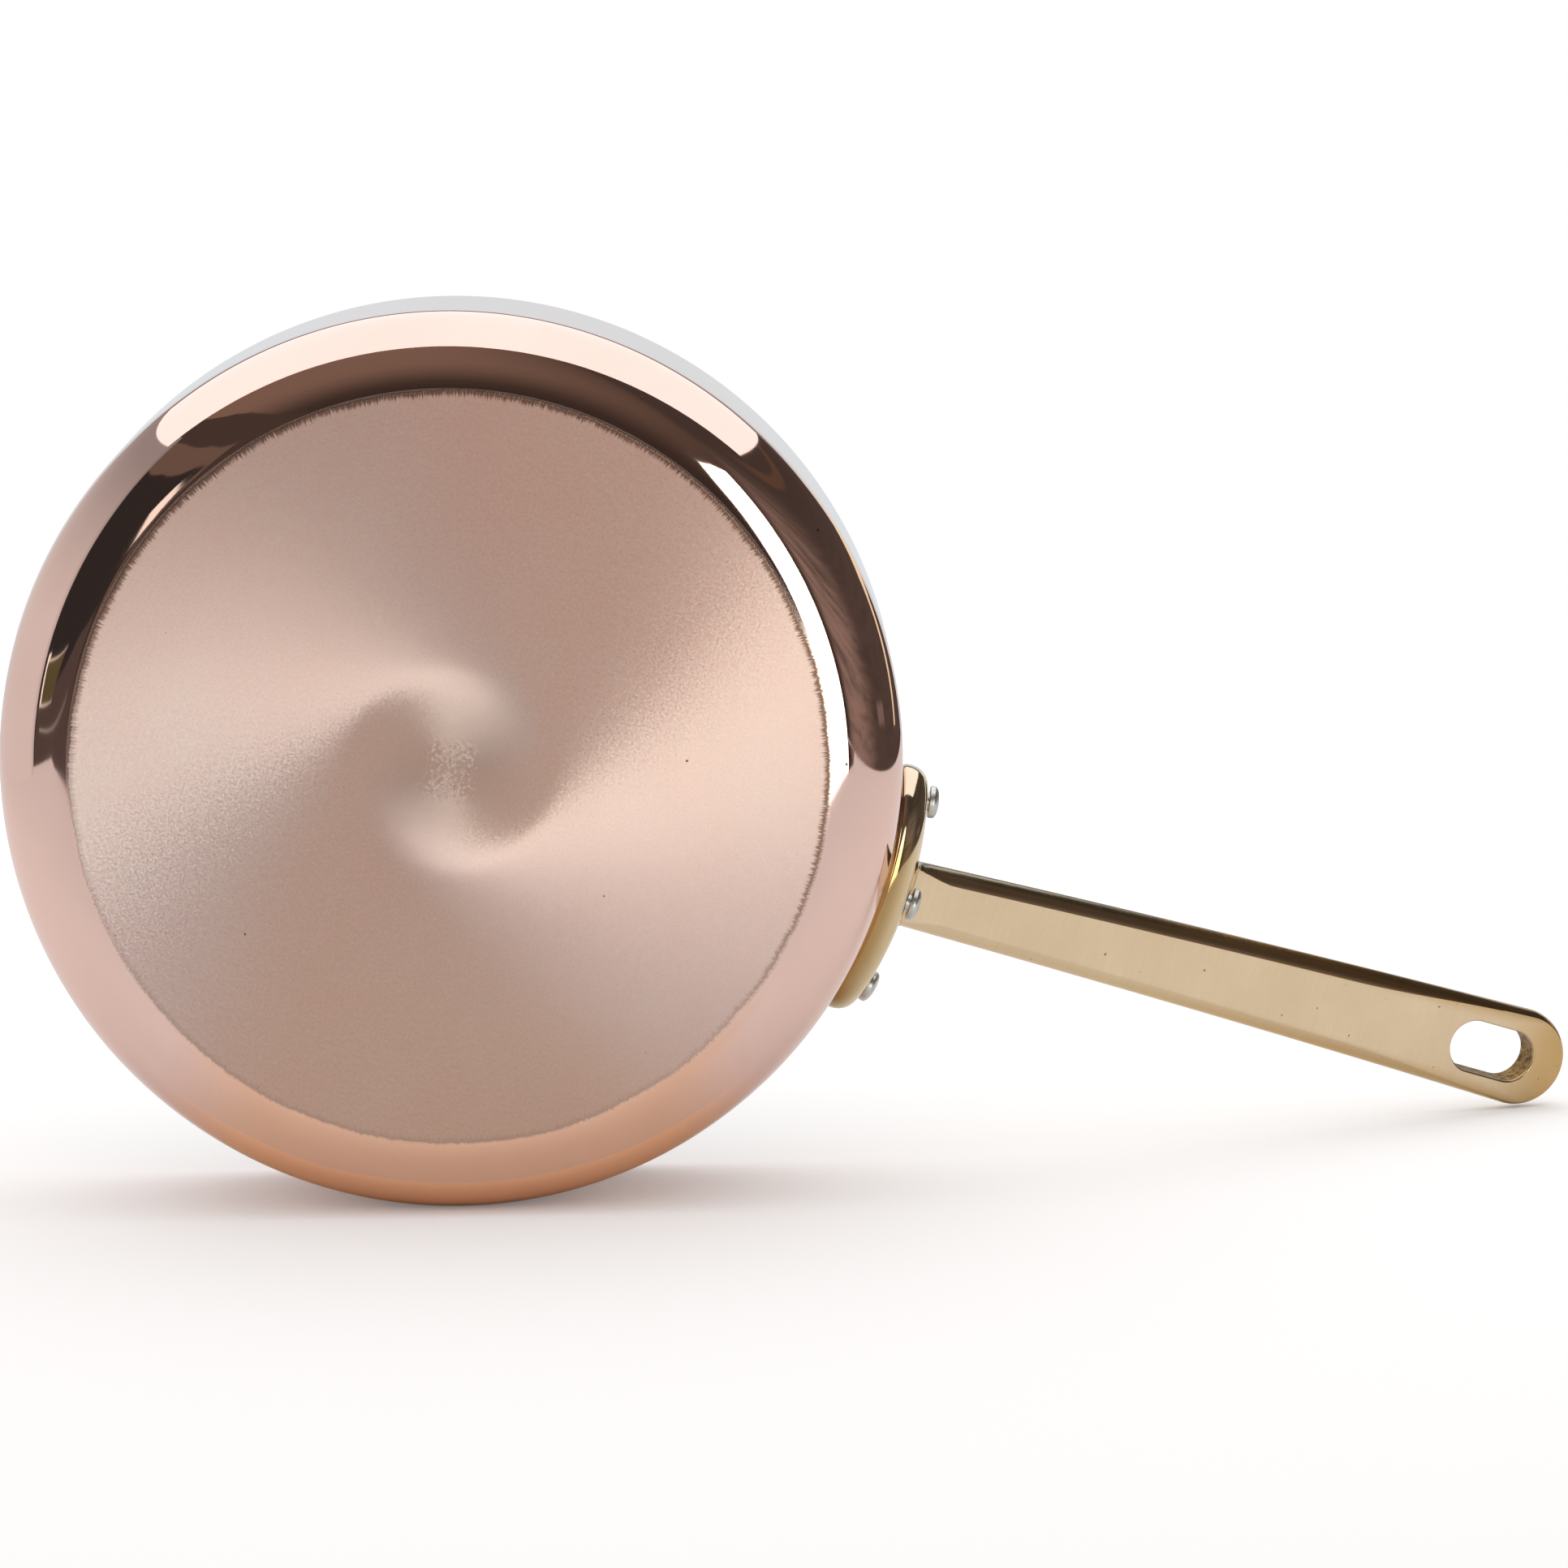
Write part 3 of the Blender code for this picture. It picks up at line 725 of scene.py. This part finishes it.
def groove_direction(m, share, grain, coarse):
    """The direction across the satin's grooves, which swirl towards the middle."""
    stray = m.total(m.swing(grain, -GROOVE_STRAY, GROOVE_STRAY),
                    m.product(m.ranged(share, 0.02, 0.11, 1.0, 0.0),
                              m.swing(coarse, -CENTRE_STRAY, CENTRE_STRAY)))
    angle = m.total(m.product(m.curve(share, GROOVE_CURVE), -GROOVE_TURN), stray)
    turned = m.node("ShaderNodeVectorRotate", {"Vector": m.vector(m.x, m.y, 0.0), "Angle": angle},
                    rotation_type="Z_AXIS")
    return m.arrow("NORMALIZE", turned.outputs[0])


def disc_edge(m, reach):
    """Where polish, burnt satin and sooty polish lie: hairs of satin reach into the polish."""
    hairs = m.noise(m.around(reach, 240.0, reach, 180.0), rough=0.7)
    wander = m.noise(m.place, 45.0, 2.0, 0.5)
    edge = m.total(reach, m.swing(hairs, -EDGE_HAIRS, EDGE_HAIRS),
                   m.swing(wander, -EDGE_WANDER, EDGE_WANDER))
    scorch = m.total(edge, m.swing(hairs, -BURNT_HAIRS, BURNT_HAIRS))
    # The burnt edge and the soot are stronger towards -Y.
    minus_y_weight = m.ranged(m.y, -0.02, 0.06, 0.9, 0.18)
    bare = m.ranged(edge, DISC_RADIUS - EDGE_BLUR, DISC_RADIUS + EDGE_BLUR)
    burnt = m.product(m.ranged(scorch, BURNT_START, BURNT_END), minus_y_weight)
    sooty = m.product(m.ranged(edge, DISC_RADIUS, DISC_RADIUS + SOOT_WIDTH, 0.9, 0.0), minus_y_weight)
    return bare, burnt, sooty


def brushed_copper():
    """The base's satin disc: grooves that swirl towards the middle, and a ragged edge."""
    m = Metal("copper_satin", anisotropic=0.96, metallic=0.89)
    reach = m.length(m.x, m.y)
    share = m.calc("DIVIDE", reach, DISC_RADIUS)
    grain = m.noise(m.place, 1400.0, 2.0, 0.75)
    coarse = m.noise(m.place, 900.0, 2.0, 0.5)
    streak = m.noise(m.around(reach, 30.0, reach, 900.0), rough=0.6)
    cloud = m.noise(m.place, 16.0, 3.0, 0.5)
    speck = m.ranged(m.noise(m.place, 330.0, 1.0, 0.3), 0.82, 0.84)
    bare, burnt, sooty = disc_edge(m, reach)

    tone = m.total(m.swing(grain, -0.7, 0.7, 0.25, 0.75), m.swing(coarse, -0.25, 0.25, 0.25, 0.75),
                   m.swing(streak, -0.2, 0.2), m.swing(cloud, -0.2, 0.2))
    tone = m.ranged(tone, -0.8, 0.8, kind="LINEAR")
    # The satin is redder towards -Y and pinker towards +Y: partly painted light, a side-to-side
    # tint that stands in for how the light falls across the disc.
    plus_y = m.ranged(m.y, -0.09, 0.09)
    dark = m.blend(plus_y, rgb(0.95, 0.56, 0.46), rgb(0.94, 0.63, 0.56))
    pale = m.blend(plus_y, rgb(1.0, 0.76, 0.66), rgb(1.0, 0.84, 0.77))
    # Paler towards the middle: painted light that lifts the dim highlights there.
    centre = m.ranged(share, 0.08, 0.32, 0.5, 0.0)
    satin = m.layered(dark, (tone, pale), (centre, rgb(1.0, 0.78, 0.68)),
                      (burnt, rgb(0.22, 0.10, 0.055)), (speck, rgb(0.20, 0.08, 0.06)))
    polish = m.blend(sooty, COPPER_COLOUR, rgb(0.20, 0.10, 0.055))

    rough = m.total(m.swing(coarse, 0.37, 0.42), m.swing(streak, -0.015, 0.015),
                    m.ranged(share, 0.05, 0.28, 0.20, 0.0))
    relief = m.product(m.total(grain, m.product(streak, 0.6)), m.calc("SUBTRACT", 1.0, bare))
    return m.finish(m.blend(bare, satin, polish), m.mix(bare, rough, MIRROR_ROUGHNESS),
                    m.bump(relief, 0.25, 0.00006), groove_direction(m, share, grain, coarse))


def polished_copper():
    """Mirror-polished copper with faint polishing lines and a few dark specks."""
    m = Metal("copper_polished")
    reach = m.length(m.x, m.y)
    lines = m.noise(m.around(reach, 14.0, m.calc("SUBTRACT", reach, m.z), 2200.0), rough=0.6)
    smudge = m.noise(m.place, 22.0, 4.0, 0.6, distortion=0.6)
    spots = m.noise(m.arrow("ADD", m.place, (0.31, 0.17, 0.05)), 240.0, 1.0, 0.4)
    wave = m.noise(m.place, 26.0, 1.0, 0.4)
    speck = m.ranged(spots, 0.815, 0.835)
    colour = m.layered(COPPER_COLOUR, (m.ranged(smudge, 0.35, 0.7), rgb(0.90, 0.63, 0.55)),
                       (speck, rgb(0.22, 0.09, 0.05)))
    roughness = m.total(m.swing(smudge, 0.024, 0.05, 0.3, 0.75), m.product(speck, 0.3))
    normal = m.bump(wave, 0.25, 0.00030)
    return m.finish(colour, roughness, m.bump(lines, 0.12, 0.000012, normal))


def lining_steel():
    """Steel brushed in circles, with faint marks of use on the base."""
    m = Metal("lining_satin", anisotropic=0.6)
    reach = m.length(m.x, m.y)
    across = m.total(reach, m.z)
    streak = m.noise(m.around(reach, 18.0, across, 1500.0), detail=4.0, rough=0.65)
    broad = m.noise(m.around(reach, 5.0, across, 130.0), detail=2.0, rough=0.5)
    cloud = m.noise(m.place, 18.0, 3.0, 0.55)
    tone = m.ranged(m.total(streak, m.product(broad, 0.8)), 0.6, 1.25, kind="LINEAR")
    colour = m.blend(tone, rgb(0.46, 0.45, 0.44), rgb(0.66, 0.655, 0.64))
    roughness = m.total(m.swing(streak, 0.26, 0.36), m.swing(cloud, -0.03, 0.04))
    circle = m.arrow("CROSS_PRODUCT", m.vector(m.x, m.y, 0.0), (0.0, 0.0, 1.0))
    facing = m.node("ShaderNodeNewGeometry").outputs["Normal"]
    tangent = m.arrow("NORMALIZE", m.arrow("CROSS_PRODUCT", circle, facing))
    return m.finish(colour, roughness, m.bump(streak, 0.2, 0.00004), tangent)


GRAIN_SLOPE = radians(23.0)  # the bar's mean slope, which its grain follows
BAR_ENDS_X = (0.131, 0.32)  # of the bar's root and its end


def inside_hole(m):
    """1 on the wall of the hanging hole and 0 elsewhere."""
    along, up = bar_axes(HOLE_MIDDLE)
    origin = bar_point(HOLE_MIDDLE)
    hole_along = m.calc("SUBTRACT", m.dot(along), origin.dot(along))
    hole_up = m.calc("SUBTRACT", m.dot(up), origin.dot(up))
    radius = HOLE_WIDTH / 2
    straight = HOLE_LENGTH / 2 - HOLE_WIDTH / 2
    past = m.calc("MAXIMUM", m.calc("SUBTRACT", m.calc("ABSOLUTE", hole_along), straight), 0.0)
    return m.product(m.ranged(m.length(past, m.y), radius + 0.0001, radius + 0.0005, 1.0, 0.0),
                     m.ranged(hole_up, 0.0004, 0.0009), m.ranged(m.x, 0.27, 0.275))


def brass_face(m, reach, flange, grain, cloud):
    """Brass with darker gold at its edges and painted shade at its tip, a painted reflection and a
    painted highlight on its flange, and a painted dark reflection on its flank towards -Y.
    """
    half_width = m.ranged(m.x, *BAR_ENDS_X, BAR_WIDTHS[0] / 2, BAR_WIDTHS[1] / 2, "LINEAR")
    from_middle = m.calc("DIVIDE", m.calc("ABSOLUTE", m.y), half_width)
    # Darker gold at the bar's edges, more so towards the tip; over the tip itself it is painted
    # shade.
    edges = m.product(m.ranged(from_middle, 0.58, 0.95), m.ranged(m.x, 0.15, 0.27, 0.35, 1.0))
    tip = m.ranged(m.x, 0.310, 0.331)
    golden = m.calc("MAXIMUM", m.calc("MAXIMUM", edges, tip), flange)
    golden = m.product(golden, m.ranged(cloud, 0.3, 0.6, 0.85, 1.0))
    # Painted reflection: the flange is darker brown towards the wall and paler at its front,
    # standing in for the shaded table that it mirrors.
    to_front = m.ranged(reach, FLANGE_BACK_RADIUS + 0.002, FLANGE_FRONT_RADIUS)
    # Painted highlight: a pale cream patch on the flange towards -Y.
    painted_highlight = m.ranged(m.y, -0.026, -0.010, 0.85, 0.0)
    flange_tone = m.layered(rgb(0.50, 0.32, 0.13), (to_front, rgb(0.89, 0.72, 0.475)),
                            (painted_highlight, rgb(0.80, 0.68, 0.52)))
    golden_tone = m.blend(flange, rgb(0.64, 0.41, 0.175), flange_tone)
    # Painted reflection: a dark band on the outer flank towards -Y, near the root and the tip,
    # stands in for the dark room that the flank mirrors.
    painted_dark_reflection = m.product(m.ranged(m.calc("DIVIDE", m.y, half_width), -0.93, -0.80, 0.85, 0.0),
                     m.calc("MAXIMUM", m.ranged(m.x, 0.185, 0.225, 1.0, 0.0),
                            m.ranged(m.x, 0.255, 0.28, 0.0, 0.45)),
                     m.calc("SUBTRACT", 1.0, flange))
    return m.layered(rgb(0.83, 0.64, 0.42), (m.ranged(cloud, 0.3, 0.7), rgb(0.885, 0.70, 0.475)),
                     (m.swing(grain, 0.0, 0.35, 0.35, 0.8), rgb(0.73, 0.55, 0.33)),
                     (golden, golden_tone), (painted_dark_reflection, rgb(0.26, 0.225, 0.15)))


def cast_brass():
    """Ground and polished brass, grained across its sides and rough as cast inside its hole."""
    m = Metal("brass_cast", anisotropic=0.35)
    reach = m.length(m.x, m.y)
    along, through = slope_axes(GRAIN_SLOPE)
    grain = m.noise(m.vector(m.product(m.dot(along), 1500.0), m.product(m.y, 60.0),
                             m.product(m.dot(through), 90.0)), detail=4.0, rough=0.65)
    cloud = m.noise(m.place, 35.0, 4.0, 0.6, distortion=0.4)
    pits = m.noise(m.place, 700.0, 3.0, 0.6)
    fine = m.noise(m.place, 2400.0, 2.0, 0.6)
    wave = m.noise(m.place, 60.0, 2.0, 0.5)
    specks = m.ranged(m.noise(m.place, 520.0, 1.0, 0.4), 0.78, 0.81, 0.0, 0.8)
    inside = inside_hole(m)
    flange = m.ranged(reach, FLANGE_FRONT_RADIUS, FLANGE_FRONT_RADIUS + 0.0012, 1.0, 0.0)
    cast = m.blend(m.ranged(pits, 0.3, 0.7), rgb(0.10, 0.052, 0.014), rgb(0.46, 0.285, 0.10))
    colour = m.layered(brass_face(m, reach, flange, grain, cloud),
                       (specks, rgb(0.22, 0.14, 0.06)), (inside, cast))
    rough = m.total(m.swing(grain, 0.15, 0.21), m.swing(cloud, -0.03, 0.03),
                    m.product(flange, -0.09), m.product(specks, 0.2))
    smooth = m.calc("SUBTRACT", 1.0, inside)
    relief = m.total(m.product(m.total(grain, m.product(fine, 0.3)), smooth),
                     m.product(pits, inside, 6.0))
    normal = m.bump(relief, 0.25, 0.00003, m.bump(wave, 0.3, 0.0004))
    return m.finish(colour, m.mix(inside, rough, 0.5), normal, m.vector(*along))


def rivet_steel(name, shift):
    """Hammered steel, cloudy and finely scratched."""
    m = Metal(name)
    moved = m.arrow("ADD", m.place, (shift, 0.7 * shift, 0.3))
    dents = m.noise(moved, 420.0, 2.0, 0.5)
    fine = m.noise(moved, 2600.0, 3.0, 0.6)
    cloud = m.noise(moved, 200.0, 3.0, 0.5)
    colour = m.blend(m.ranged(cloud, 0.3, 0.7), rgb(0.60, 0.59, 0.57), rgb(0.78, 0.77, 0.75))
    normal = m.bump(fine, 0.2, 0.00003, m.bump(dents, 0.4, 0.0003))
    return m.finish(colour, m.swing(fine, 0.28, 0.40), normal)


# Studio

def studio(right, up, front):
    """A point in the photograph's room: to its right, up from the pan's axis, to the camera."""
    return STUDIO_RIGHT * right + STUDIO_UP * up + STUDIO_FRONT * front


def toward(azimuth, elevation, distance):
    """A studio point in a direction from the pan: azimuth from the camera to its right."""
    turn = radians(azimuth)
    return distance * sin(turn), distance * tan(radians(elevation)), distance * cos(turn)


def stage_object(name, bm, material, **kinds):
    """An object of the stage; where kinds of rays are named, no others meet it."""
    mesh = bpy.data.meshes.new(name)
    bm.to_mesh(mesh)
    bm.free()
    mesh.materials.append(material)
    obj = bpy.data.objects.new(name, mesh)
    bpy.context.scene.collection.objects.link(obj)
    if kinds:
        for kind in ("camera", "diffuse", "glossy", "transmission", "volume_scatter", "shadow"):
            setattr(obj, "visible_" + kind, kinds.get(kind, False))


def plain_light(name, colour, strength):
    """An even light that is colourless where it falls on the floor."""
    m = Recipe(name)
    diffuse = m.node("ShaderNodeLightPath").outputs["Is Diffuse Ray"]
    return m.glow(m.blend(diffuse, rgb(*colour), rgb(1.0, 1.0, 1.0)), strength)


def panel(name, corners, material, **kinds):
    """A flat piece of the stage with (right, up, front) corners."""
    bm = bmesh.new()
    bm.faces.new([bm.verts.new(studio(*corner)) for corner in corners])
    stage_object(name, bm, material, **kinds)


def card(name, corners, colour, strength, lights=False):
    """A plain light that only reflections meet, unless it also lights what is around it."""
    panel(name, corners, plain_light(name, colour, strength), glossy=True, diffuse=lights)


def screen(name, distance, corners, colour, strength):
    """A card with (azimuth, elevation) corners at a distance from the pan's axis."""
    card(name, [toward(*corner, distance) for corner in corners], colour, strength)


def bright_line(name, start, end, strength):
    """A bright line at the window, narrower at its end."""
    corners = (start, (start[0], start[1] - 0.35), (end[0], end[1] - 0.12), end)
    screen(name, 1.57, corners, BRIGHT, strength)


def arched_wall(name, distance, colour, top):
    """A bent piece of wall round the pan under a line of (azimuth, elevation) points."""
    bm = bmesh.new()
    posts = [[bm.verts.new(studio(*toward(azimuth, height, distance)))
              for height in (WALL_FOOT, elevation)] for azimuth, elevation in top]
    bridge(bm, posts, closed=False)
    stage_object(name, bm, plain_light(name, colour, 1.0), glossy=True)


def left_panel(name):
    """A tall white panel on the left that darkens towards its top and its near edge."""
    m = Recipe(name)
    level = m.product(m.ranged(m.dot(STUDIO_UP), 0.14, 0.82, 0.71, 0.31),
                      m.ranged(m.dot(STUDIO_FRONT), 0.38, 0.58, 1.0, 0.65))
    left, low, high, near, far = -0.90, -0.5, 0.90, 0.52, -1.7
    panel(name, ((left, low, near), (left, high, near), (left, high, far), (left, low, far)),
          m.glow(rgb(1.0, 1.0, 1.0), level), glossy=True)


def room_light():
    """The dim room: brown in front, darker to the sides and low down, streaked on the right."""
    m = Recipe("room")
    right, up, front = m.dot(STUDIO_RIGHT), m.dot(STUDIO_UP), m.dot(STUDIO_FRONT)
    turn = m.calc("DEGREES", m.calc("ARCTAN2", right, front))
    rise = m.calc("DEGREES", m.calc("ARCTAN2", up, m.length(right, front)))
    ahead = m.product(m.ranged(turn, -15.0, 50.0, 1.0, 0.25), m.ranged(rise, -6.0, 39.0, 0.12))
    to_right = m.ranged(turn, 27.0, 36.0)
    lines = m.noise(m.vector(m.product(turn, 0.03), m.product(rise, 0.42), 0.0),
                    detail=4.0, rough=0.7)
    streaks = m.product(to_right, m.ranged(turn, 50.0, 84.0, 1.0, 0.12),
                        m.ranged(rise, 12.0, 36.0, 1.0, 0.0), m.ranged(lines, 0.30, 0.62, 0.25))
    arch = m.product(m.band(rise, 35.4, 38.2, 0.6), m.ranged(turn, 42.0, 70.0, 0.0, 0.8))
    spot = m.product(m.band(turn, 84.0, 97.0, 2.0), m.band(rise, -1.6, 1.4, 0.8))
    colour = m.layered(rgb(0.020, 0.016, 0.014), (ahead, rgb(0.200, 0.145, 0.114)),
                       (to_right, rgb(0.060, 0.049, 0.044)), (streaks, rgb(0.275, 0.215, 0.185)),
                       (arch, rgb(0.115, 0.075, 0.050)), (spot, rgb(0.20, 0.16, 0.15)))
    return m.glow(colour, 1.0)


ROOM_RADIUS = 3.2
ROOM_FOOT = -1.0  # the dome is open below this


def make_room():
    """The room's walls and ceiling, as a dome that only reflections meet."""
    bm = bmesh.new()
    bmesh.ops.create_uvsphere(bm, u_segments=64, v_segments=32, radius=ROOM_RADIUS)
    low = [vert for vert in bm.verts if vert.co.dot(STUDIO_UP) < ROOM_FOOT]
    bmesh.ops.delete(bm, geom=low, context="VERTS")
    stage_object("room", bm, room_light(), glossy=True)


# What the metal mirrors, as its reflections in the photograph show it: each piece's name,
# the function that makes it and that function's other arguments
BRIGHT = (1.0, 1.0, 0.92)
WALL_FOOT = -9.5  # elevation of the arched walls' lower edge
MIRRORED = (
    ("softbox", card, ((-0.585, 0.55, 0.235), (0.575, 0.55, 0.235), (0.62, 0.55, -1.05),
     (-0.60, 0.55, -1.05)), (0.98, 0.98, 1.0), 1.32, True),
    ("left_panel", left_panel),
    ("right_lamp", screen, 1.3, ((3.2, -9), (28, -9), (29, 23), (22, 19), (15, 13), (9.8, 4)),
     (1.0, 1.13, 1.10), 2.9),
    # A dark doorway in front on the left, a paler arc of wall round it, its shade and its foot
    ("doorway", arched_wall, 2.0, (0.030, 0.028, 0.027),
     ((-63, 35), (-50, 30), (-37, 24), (-23, 14), (-14, 6.5), (-9.5, 1.5), (-8, -9))),
    ("door_head", arched_wall, 2.1, (0.145, 0.108, 0.087),
     ((-66, 40), (-58, 39), (-45, 34), (-35, 28), (-20, 16), (-8.5, 2.5), (-7, -9))),
    ("door_shade", arched_wall, 2.2, (0.061, 0.048, 0.041),
     ((-66, 46), (-52, 43), (-33, 35), (-24, 28), (-17, 20), (-9, 8), (-4.5, -1), (-3.5, -9))),
    ("door_foot", arched_wall, 1.9, (0.085, 0.068, 0.062),
     ((-57, -0.5), (-30, -1.0), (-18, -1.8), (-10, -4.0), (-8, -9))),
    ("window", screen, 1.6, ((-54, -0.3), (-54, 4.9), (-31, 1.2), (-36, -1.7)),
     (0.105, 0.094, 0.045), 1.0),
    ("window_edge", screen, 1.58, ((-55.2, -0.4), (-55.2, 6.0), (-51.5, 5.4), (-53.4, 4.2),
     (-53.0, -0.4)), BRIGHT, 1.1),
    ("window_top", bright_line, (-53, 5.0), (-30, 1.4), 0.8),
    ("window_sill", bright_line, (-54, -0.2), (-36, -1.9), 0.8),
    ("sill_line", bright_line, (-51, -2.9), (-14, -5.4), 0.35),
    ("lamp_glint", screen, 1.6, ((-9.6, -1.2), (-10.8, -1.4), (-16.2, 4.6), (-14.2, 5.2),
     (-10.2, 0.8)), BRIGHT, 1.1),
    ("right_glint", screen, 2.4, ((122, -3), (126, -3), (140, 7.5), (163, 6), (163, 9),
     (149, 11.5), (136, 11.5)), (0.95, 0.85, 0.60), 1.0),
    # The wall behind the pan, pale up to a line and dim above it
    ("room_back", card, ((-1.5, -1.0, -2.6), (1.5, -1.0, -2.6), (1.5, 0.85, -2.6),
     (-1.5, 0.85, -2.6)), (0.77, 0.83, 0.865), 0.95),
    ("room_back_top", card, ((-1.5, 0.85, -2.6), (1.5, 0.85, -2.6), (0.8, 2.4, -2.0),
     (-0.8, 2.4, -2.0)), (0.25, 0.24, 0.24), 1.0),
)

FLOOR_RIGHT = Vector((cos(FLOOR_TURN), -sin(FLOOR_TURN), 0.0))
FLOOR_UP = Vector((-sin(FLOOR_TURN), -cos(FLOOR_TURN), 0.0))
FLOOR_GAP = 0.0001  # between the floor and the wall that lies on it

# The photograph's table seen from above: (right, front) points of its front edge, and its
# bowed ends, each with its middle's right and front, half width, front and back reach
TABLE_FRONT = ((0.713, 0.892), (0.585, 0.756), (0.10, 0.805), (-0.443, 0.913), (-0.568, 0.987))
TABLE_LEFT = (-0.50, -0.45, 0.727, 1.44, 0.95)
TABLE_RIGHT = (0.30, 0.0, 0.556, 1.333, 1.40)
TABLE_STEPS = 20

# The floor under the upright pan
STAND_PLACE = (0.08, 0.0, -0.0004)
STAND_RADIUS = 3.0

SEEN_WHITE = rgb(0.895, 0.878, 0.872)
GLOW_BLUR = 0.0006  # of the edges of the copper's glow


def floor_material(name, lying):
    """White that keeps shadows and lets the camera look through its back.

    The photograph's floor, which lies under the pan there, also shows the copper's
    glow where the metal mirrors it. The other floor is met by the camera alone.
    """
    m = Recipe(name)
    camera = m.node("ShaderNodeLightPath").outputs["Is Camera Ray"]
    hidden = m.node("ShaderNodeNewGeometry").outputs["Backfacing"]
    mirrored = rgb(0.76, 0.76, 0.76)
    front = m.dot(STUDIO_FRONT)
    if lying:
        near = m.ranged(m.calc("ABSOLUTE", m.dot(FLOOR_RIGHT)), 0.06, 0.12, 1.0, 0.0)
        before = m.product(near, m.ranged(front, -GLOW_BLUR, GLOW_BLUR),
                           m.ranged(front, 0.20, 0.40, 1.0, 0.0))
        under = m.product(near, m.band(front, -0.045, 0.0, GLOW_BLUR))
        mirrored = m.layered(mirrored, (before, rgb(0.74, 0.63, 0.50)),
                             (under, rgb(0.87, 0.67, 0.45)))
    else:
        hidden = m.calc("MAXIMUM", hidden, m.calc("SUBTRACT", 1.0, camera))
    white = m.node("ShaderNodeBsdfDiffuse", {"Color": m.blend(camera, mirrored, SEEN_WHITE)})
    lift = m.product(camera, m.ranged(front, -0.8, -0.25, 0.5, 0.145))
    glow = m.node("ShaderNodeEmission", {"Strength": lift})
    both = m.node("ShaderNodeAddShader", {0: white.outputs[0], 1: glow.outputs[0]})
    clear = m.node("ShaderNodeBsdfTransparent")
    shown = m.node("ShaderNodeMixShader", {0: hidden, 1: both.outputs[0], 2: clear.outputs[0]})
    return m.show(shown.outputs[0])


def table_outline():
    """The table's outline as (right, front) points."""
    points = list(TABLE_FRONT)
    for side, (centre, middle, width, ahead, behind) in ((-1, TABLE_LEFT), (1, TABLE_RIGHT)):
        bow = []
        for turn in even_steps(pi, TABLE_STEPS)[1:-1]:
            angle = turn - pi / 2
            reach = ahead if angle < 0 else behind
            bow.append((centre + side * width * cos(angle), middle - reach * sin(angle)))
        points += bow if side < 0 else list(reversed(bow))
    return points


def make_floors():
    """The photograph's table beside the pan, and a floor under it for the upright views."""
    bm = bmesh.new()
    touch = FLOOR_UP * -(WALL_RADIUS + FLOOR_GAP)
    face = bm.faces.new([bm.verts.new(touch + FLOOR_RIGHT * right + STUDIO_FRONT * front)
                         for right, front in table_outline()])
    face.normal_update()
    if face.normal.dot(FLOOR_UP) < 0:
        face.normal_flip()
    stage_object("photo_floor", bm, floor_material("photo_floor", True))
    bm = bmesh.new()
    bmesh.ops.create_circle(bm, cap_ends=True, segments=96, radius=STAND_RADIUS)
    bm.transform(Matrix.Translation(STAND_PLACE))
    stage_object("upright_floor", bm, floor_material("upright_floor", False), camera=True)


def make_world():
    """A white world, a little dimmer as a light than where it is seen or mirrored."""
    world = bpy.data.worlds.new("studio")
    bpy.context.scene.world = world
    world.use_nodes = True
    m = Nodes(world.node_tree)
    rays = m.node("ShaderNodeLightPath").outputs
    seen = m.calc("MAXIMUM", rays["Is Camera Ray"],
                  m.calc("MAXIMUM", rays["Is Glossy Ray"], rays["Is Transmission Ray"]))
    sky = m.tree.nodes["Background"]
    sky.inputs["Color"].default_value = rgb(1.0, 1.0, 1.0)
    m.tree.links.new(m.mix(seen, 0.85, 1.0), sky.inputs["Strength"])


def make_camera():
    """The photograph's camera."""
    data = bpy.data.cameras.new("photo_camera")
    data.lens = LENS
    data.sensor_width = SENSOR
    data.clip_start = 0.05
    data.clip_end = 60.0
    camera = bpy.data.objects.new("photo_camera", data)
    bpy.context.scene.collection.objects.link(camera)
    bpy.context.scene.camera = camera
    turn = Matrix((Vector(CAMERA_RIGHT), -Vector(CAMERA_DOWN), -Vector(CAMERA_AHEAD)))
    turn.transpose()
    camera.matrix_world = Matrix.Translation(CAMERA_PLACE) @ turn.to_4x4()


def dress(piece, node):
    """Put a finer piece in a node's place."""
    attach(piece, "root")
    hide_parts(node)


make_world()
make_camera()
make_floors()
make_room()
for part, shape, *settings in MIRRORED:
    shape(part, *settings)

dress(make_copper(), "copper_body")
dress(make_lining(), "steel_lining")
dress(make_handle(), "handle")
for index, (name, (along, height)) in enumerate(RIVETS.items()):
    rivet = make_rivet(name, along, height, RIVET_SPIN * index)
    rivet.data.materials.append(rivet_steel(name + "_steel", RIVET_SHIFT * index))
    dress(rivet, name)

view = bpy.context.scene.view_settings
view.view_transform = "Standard"
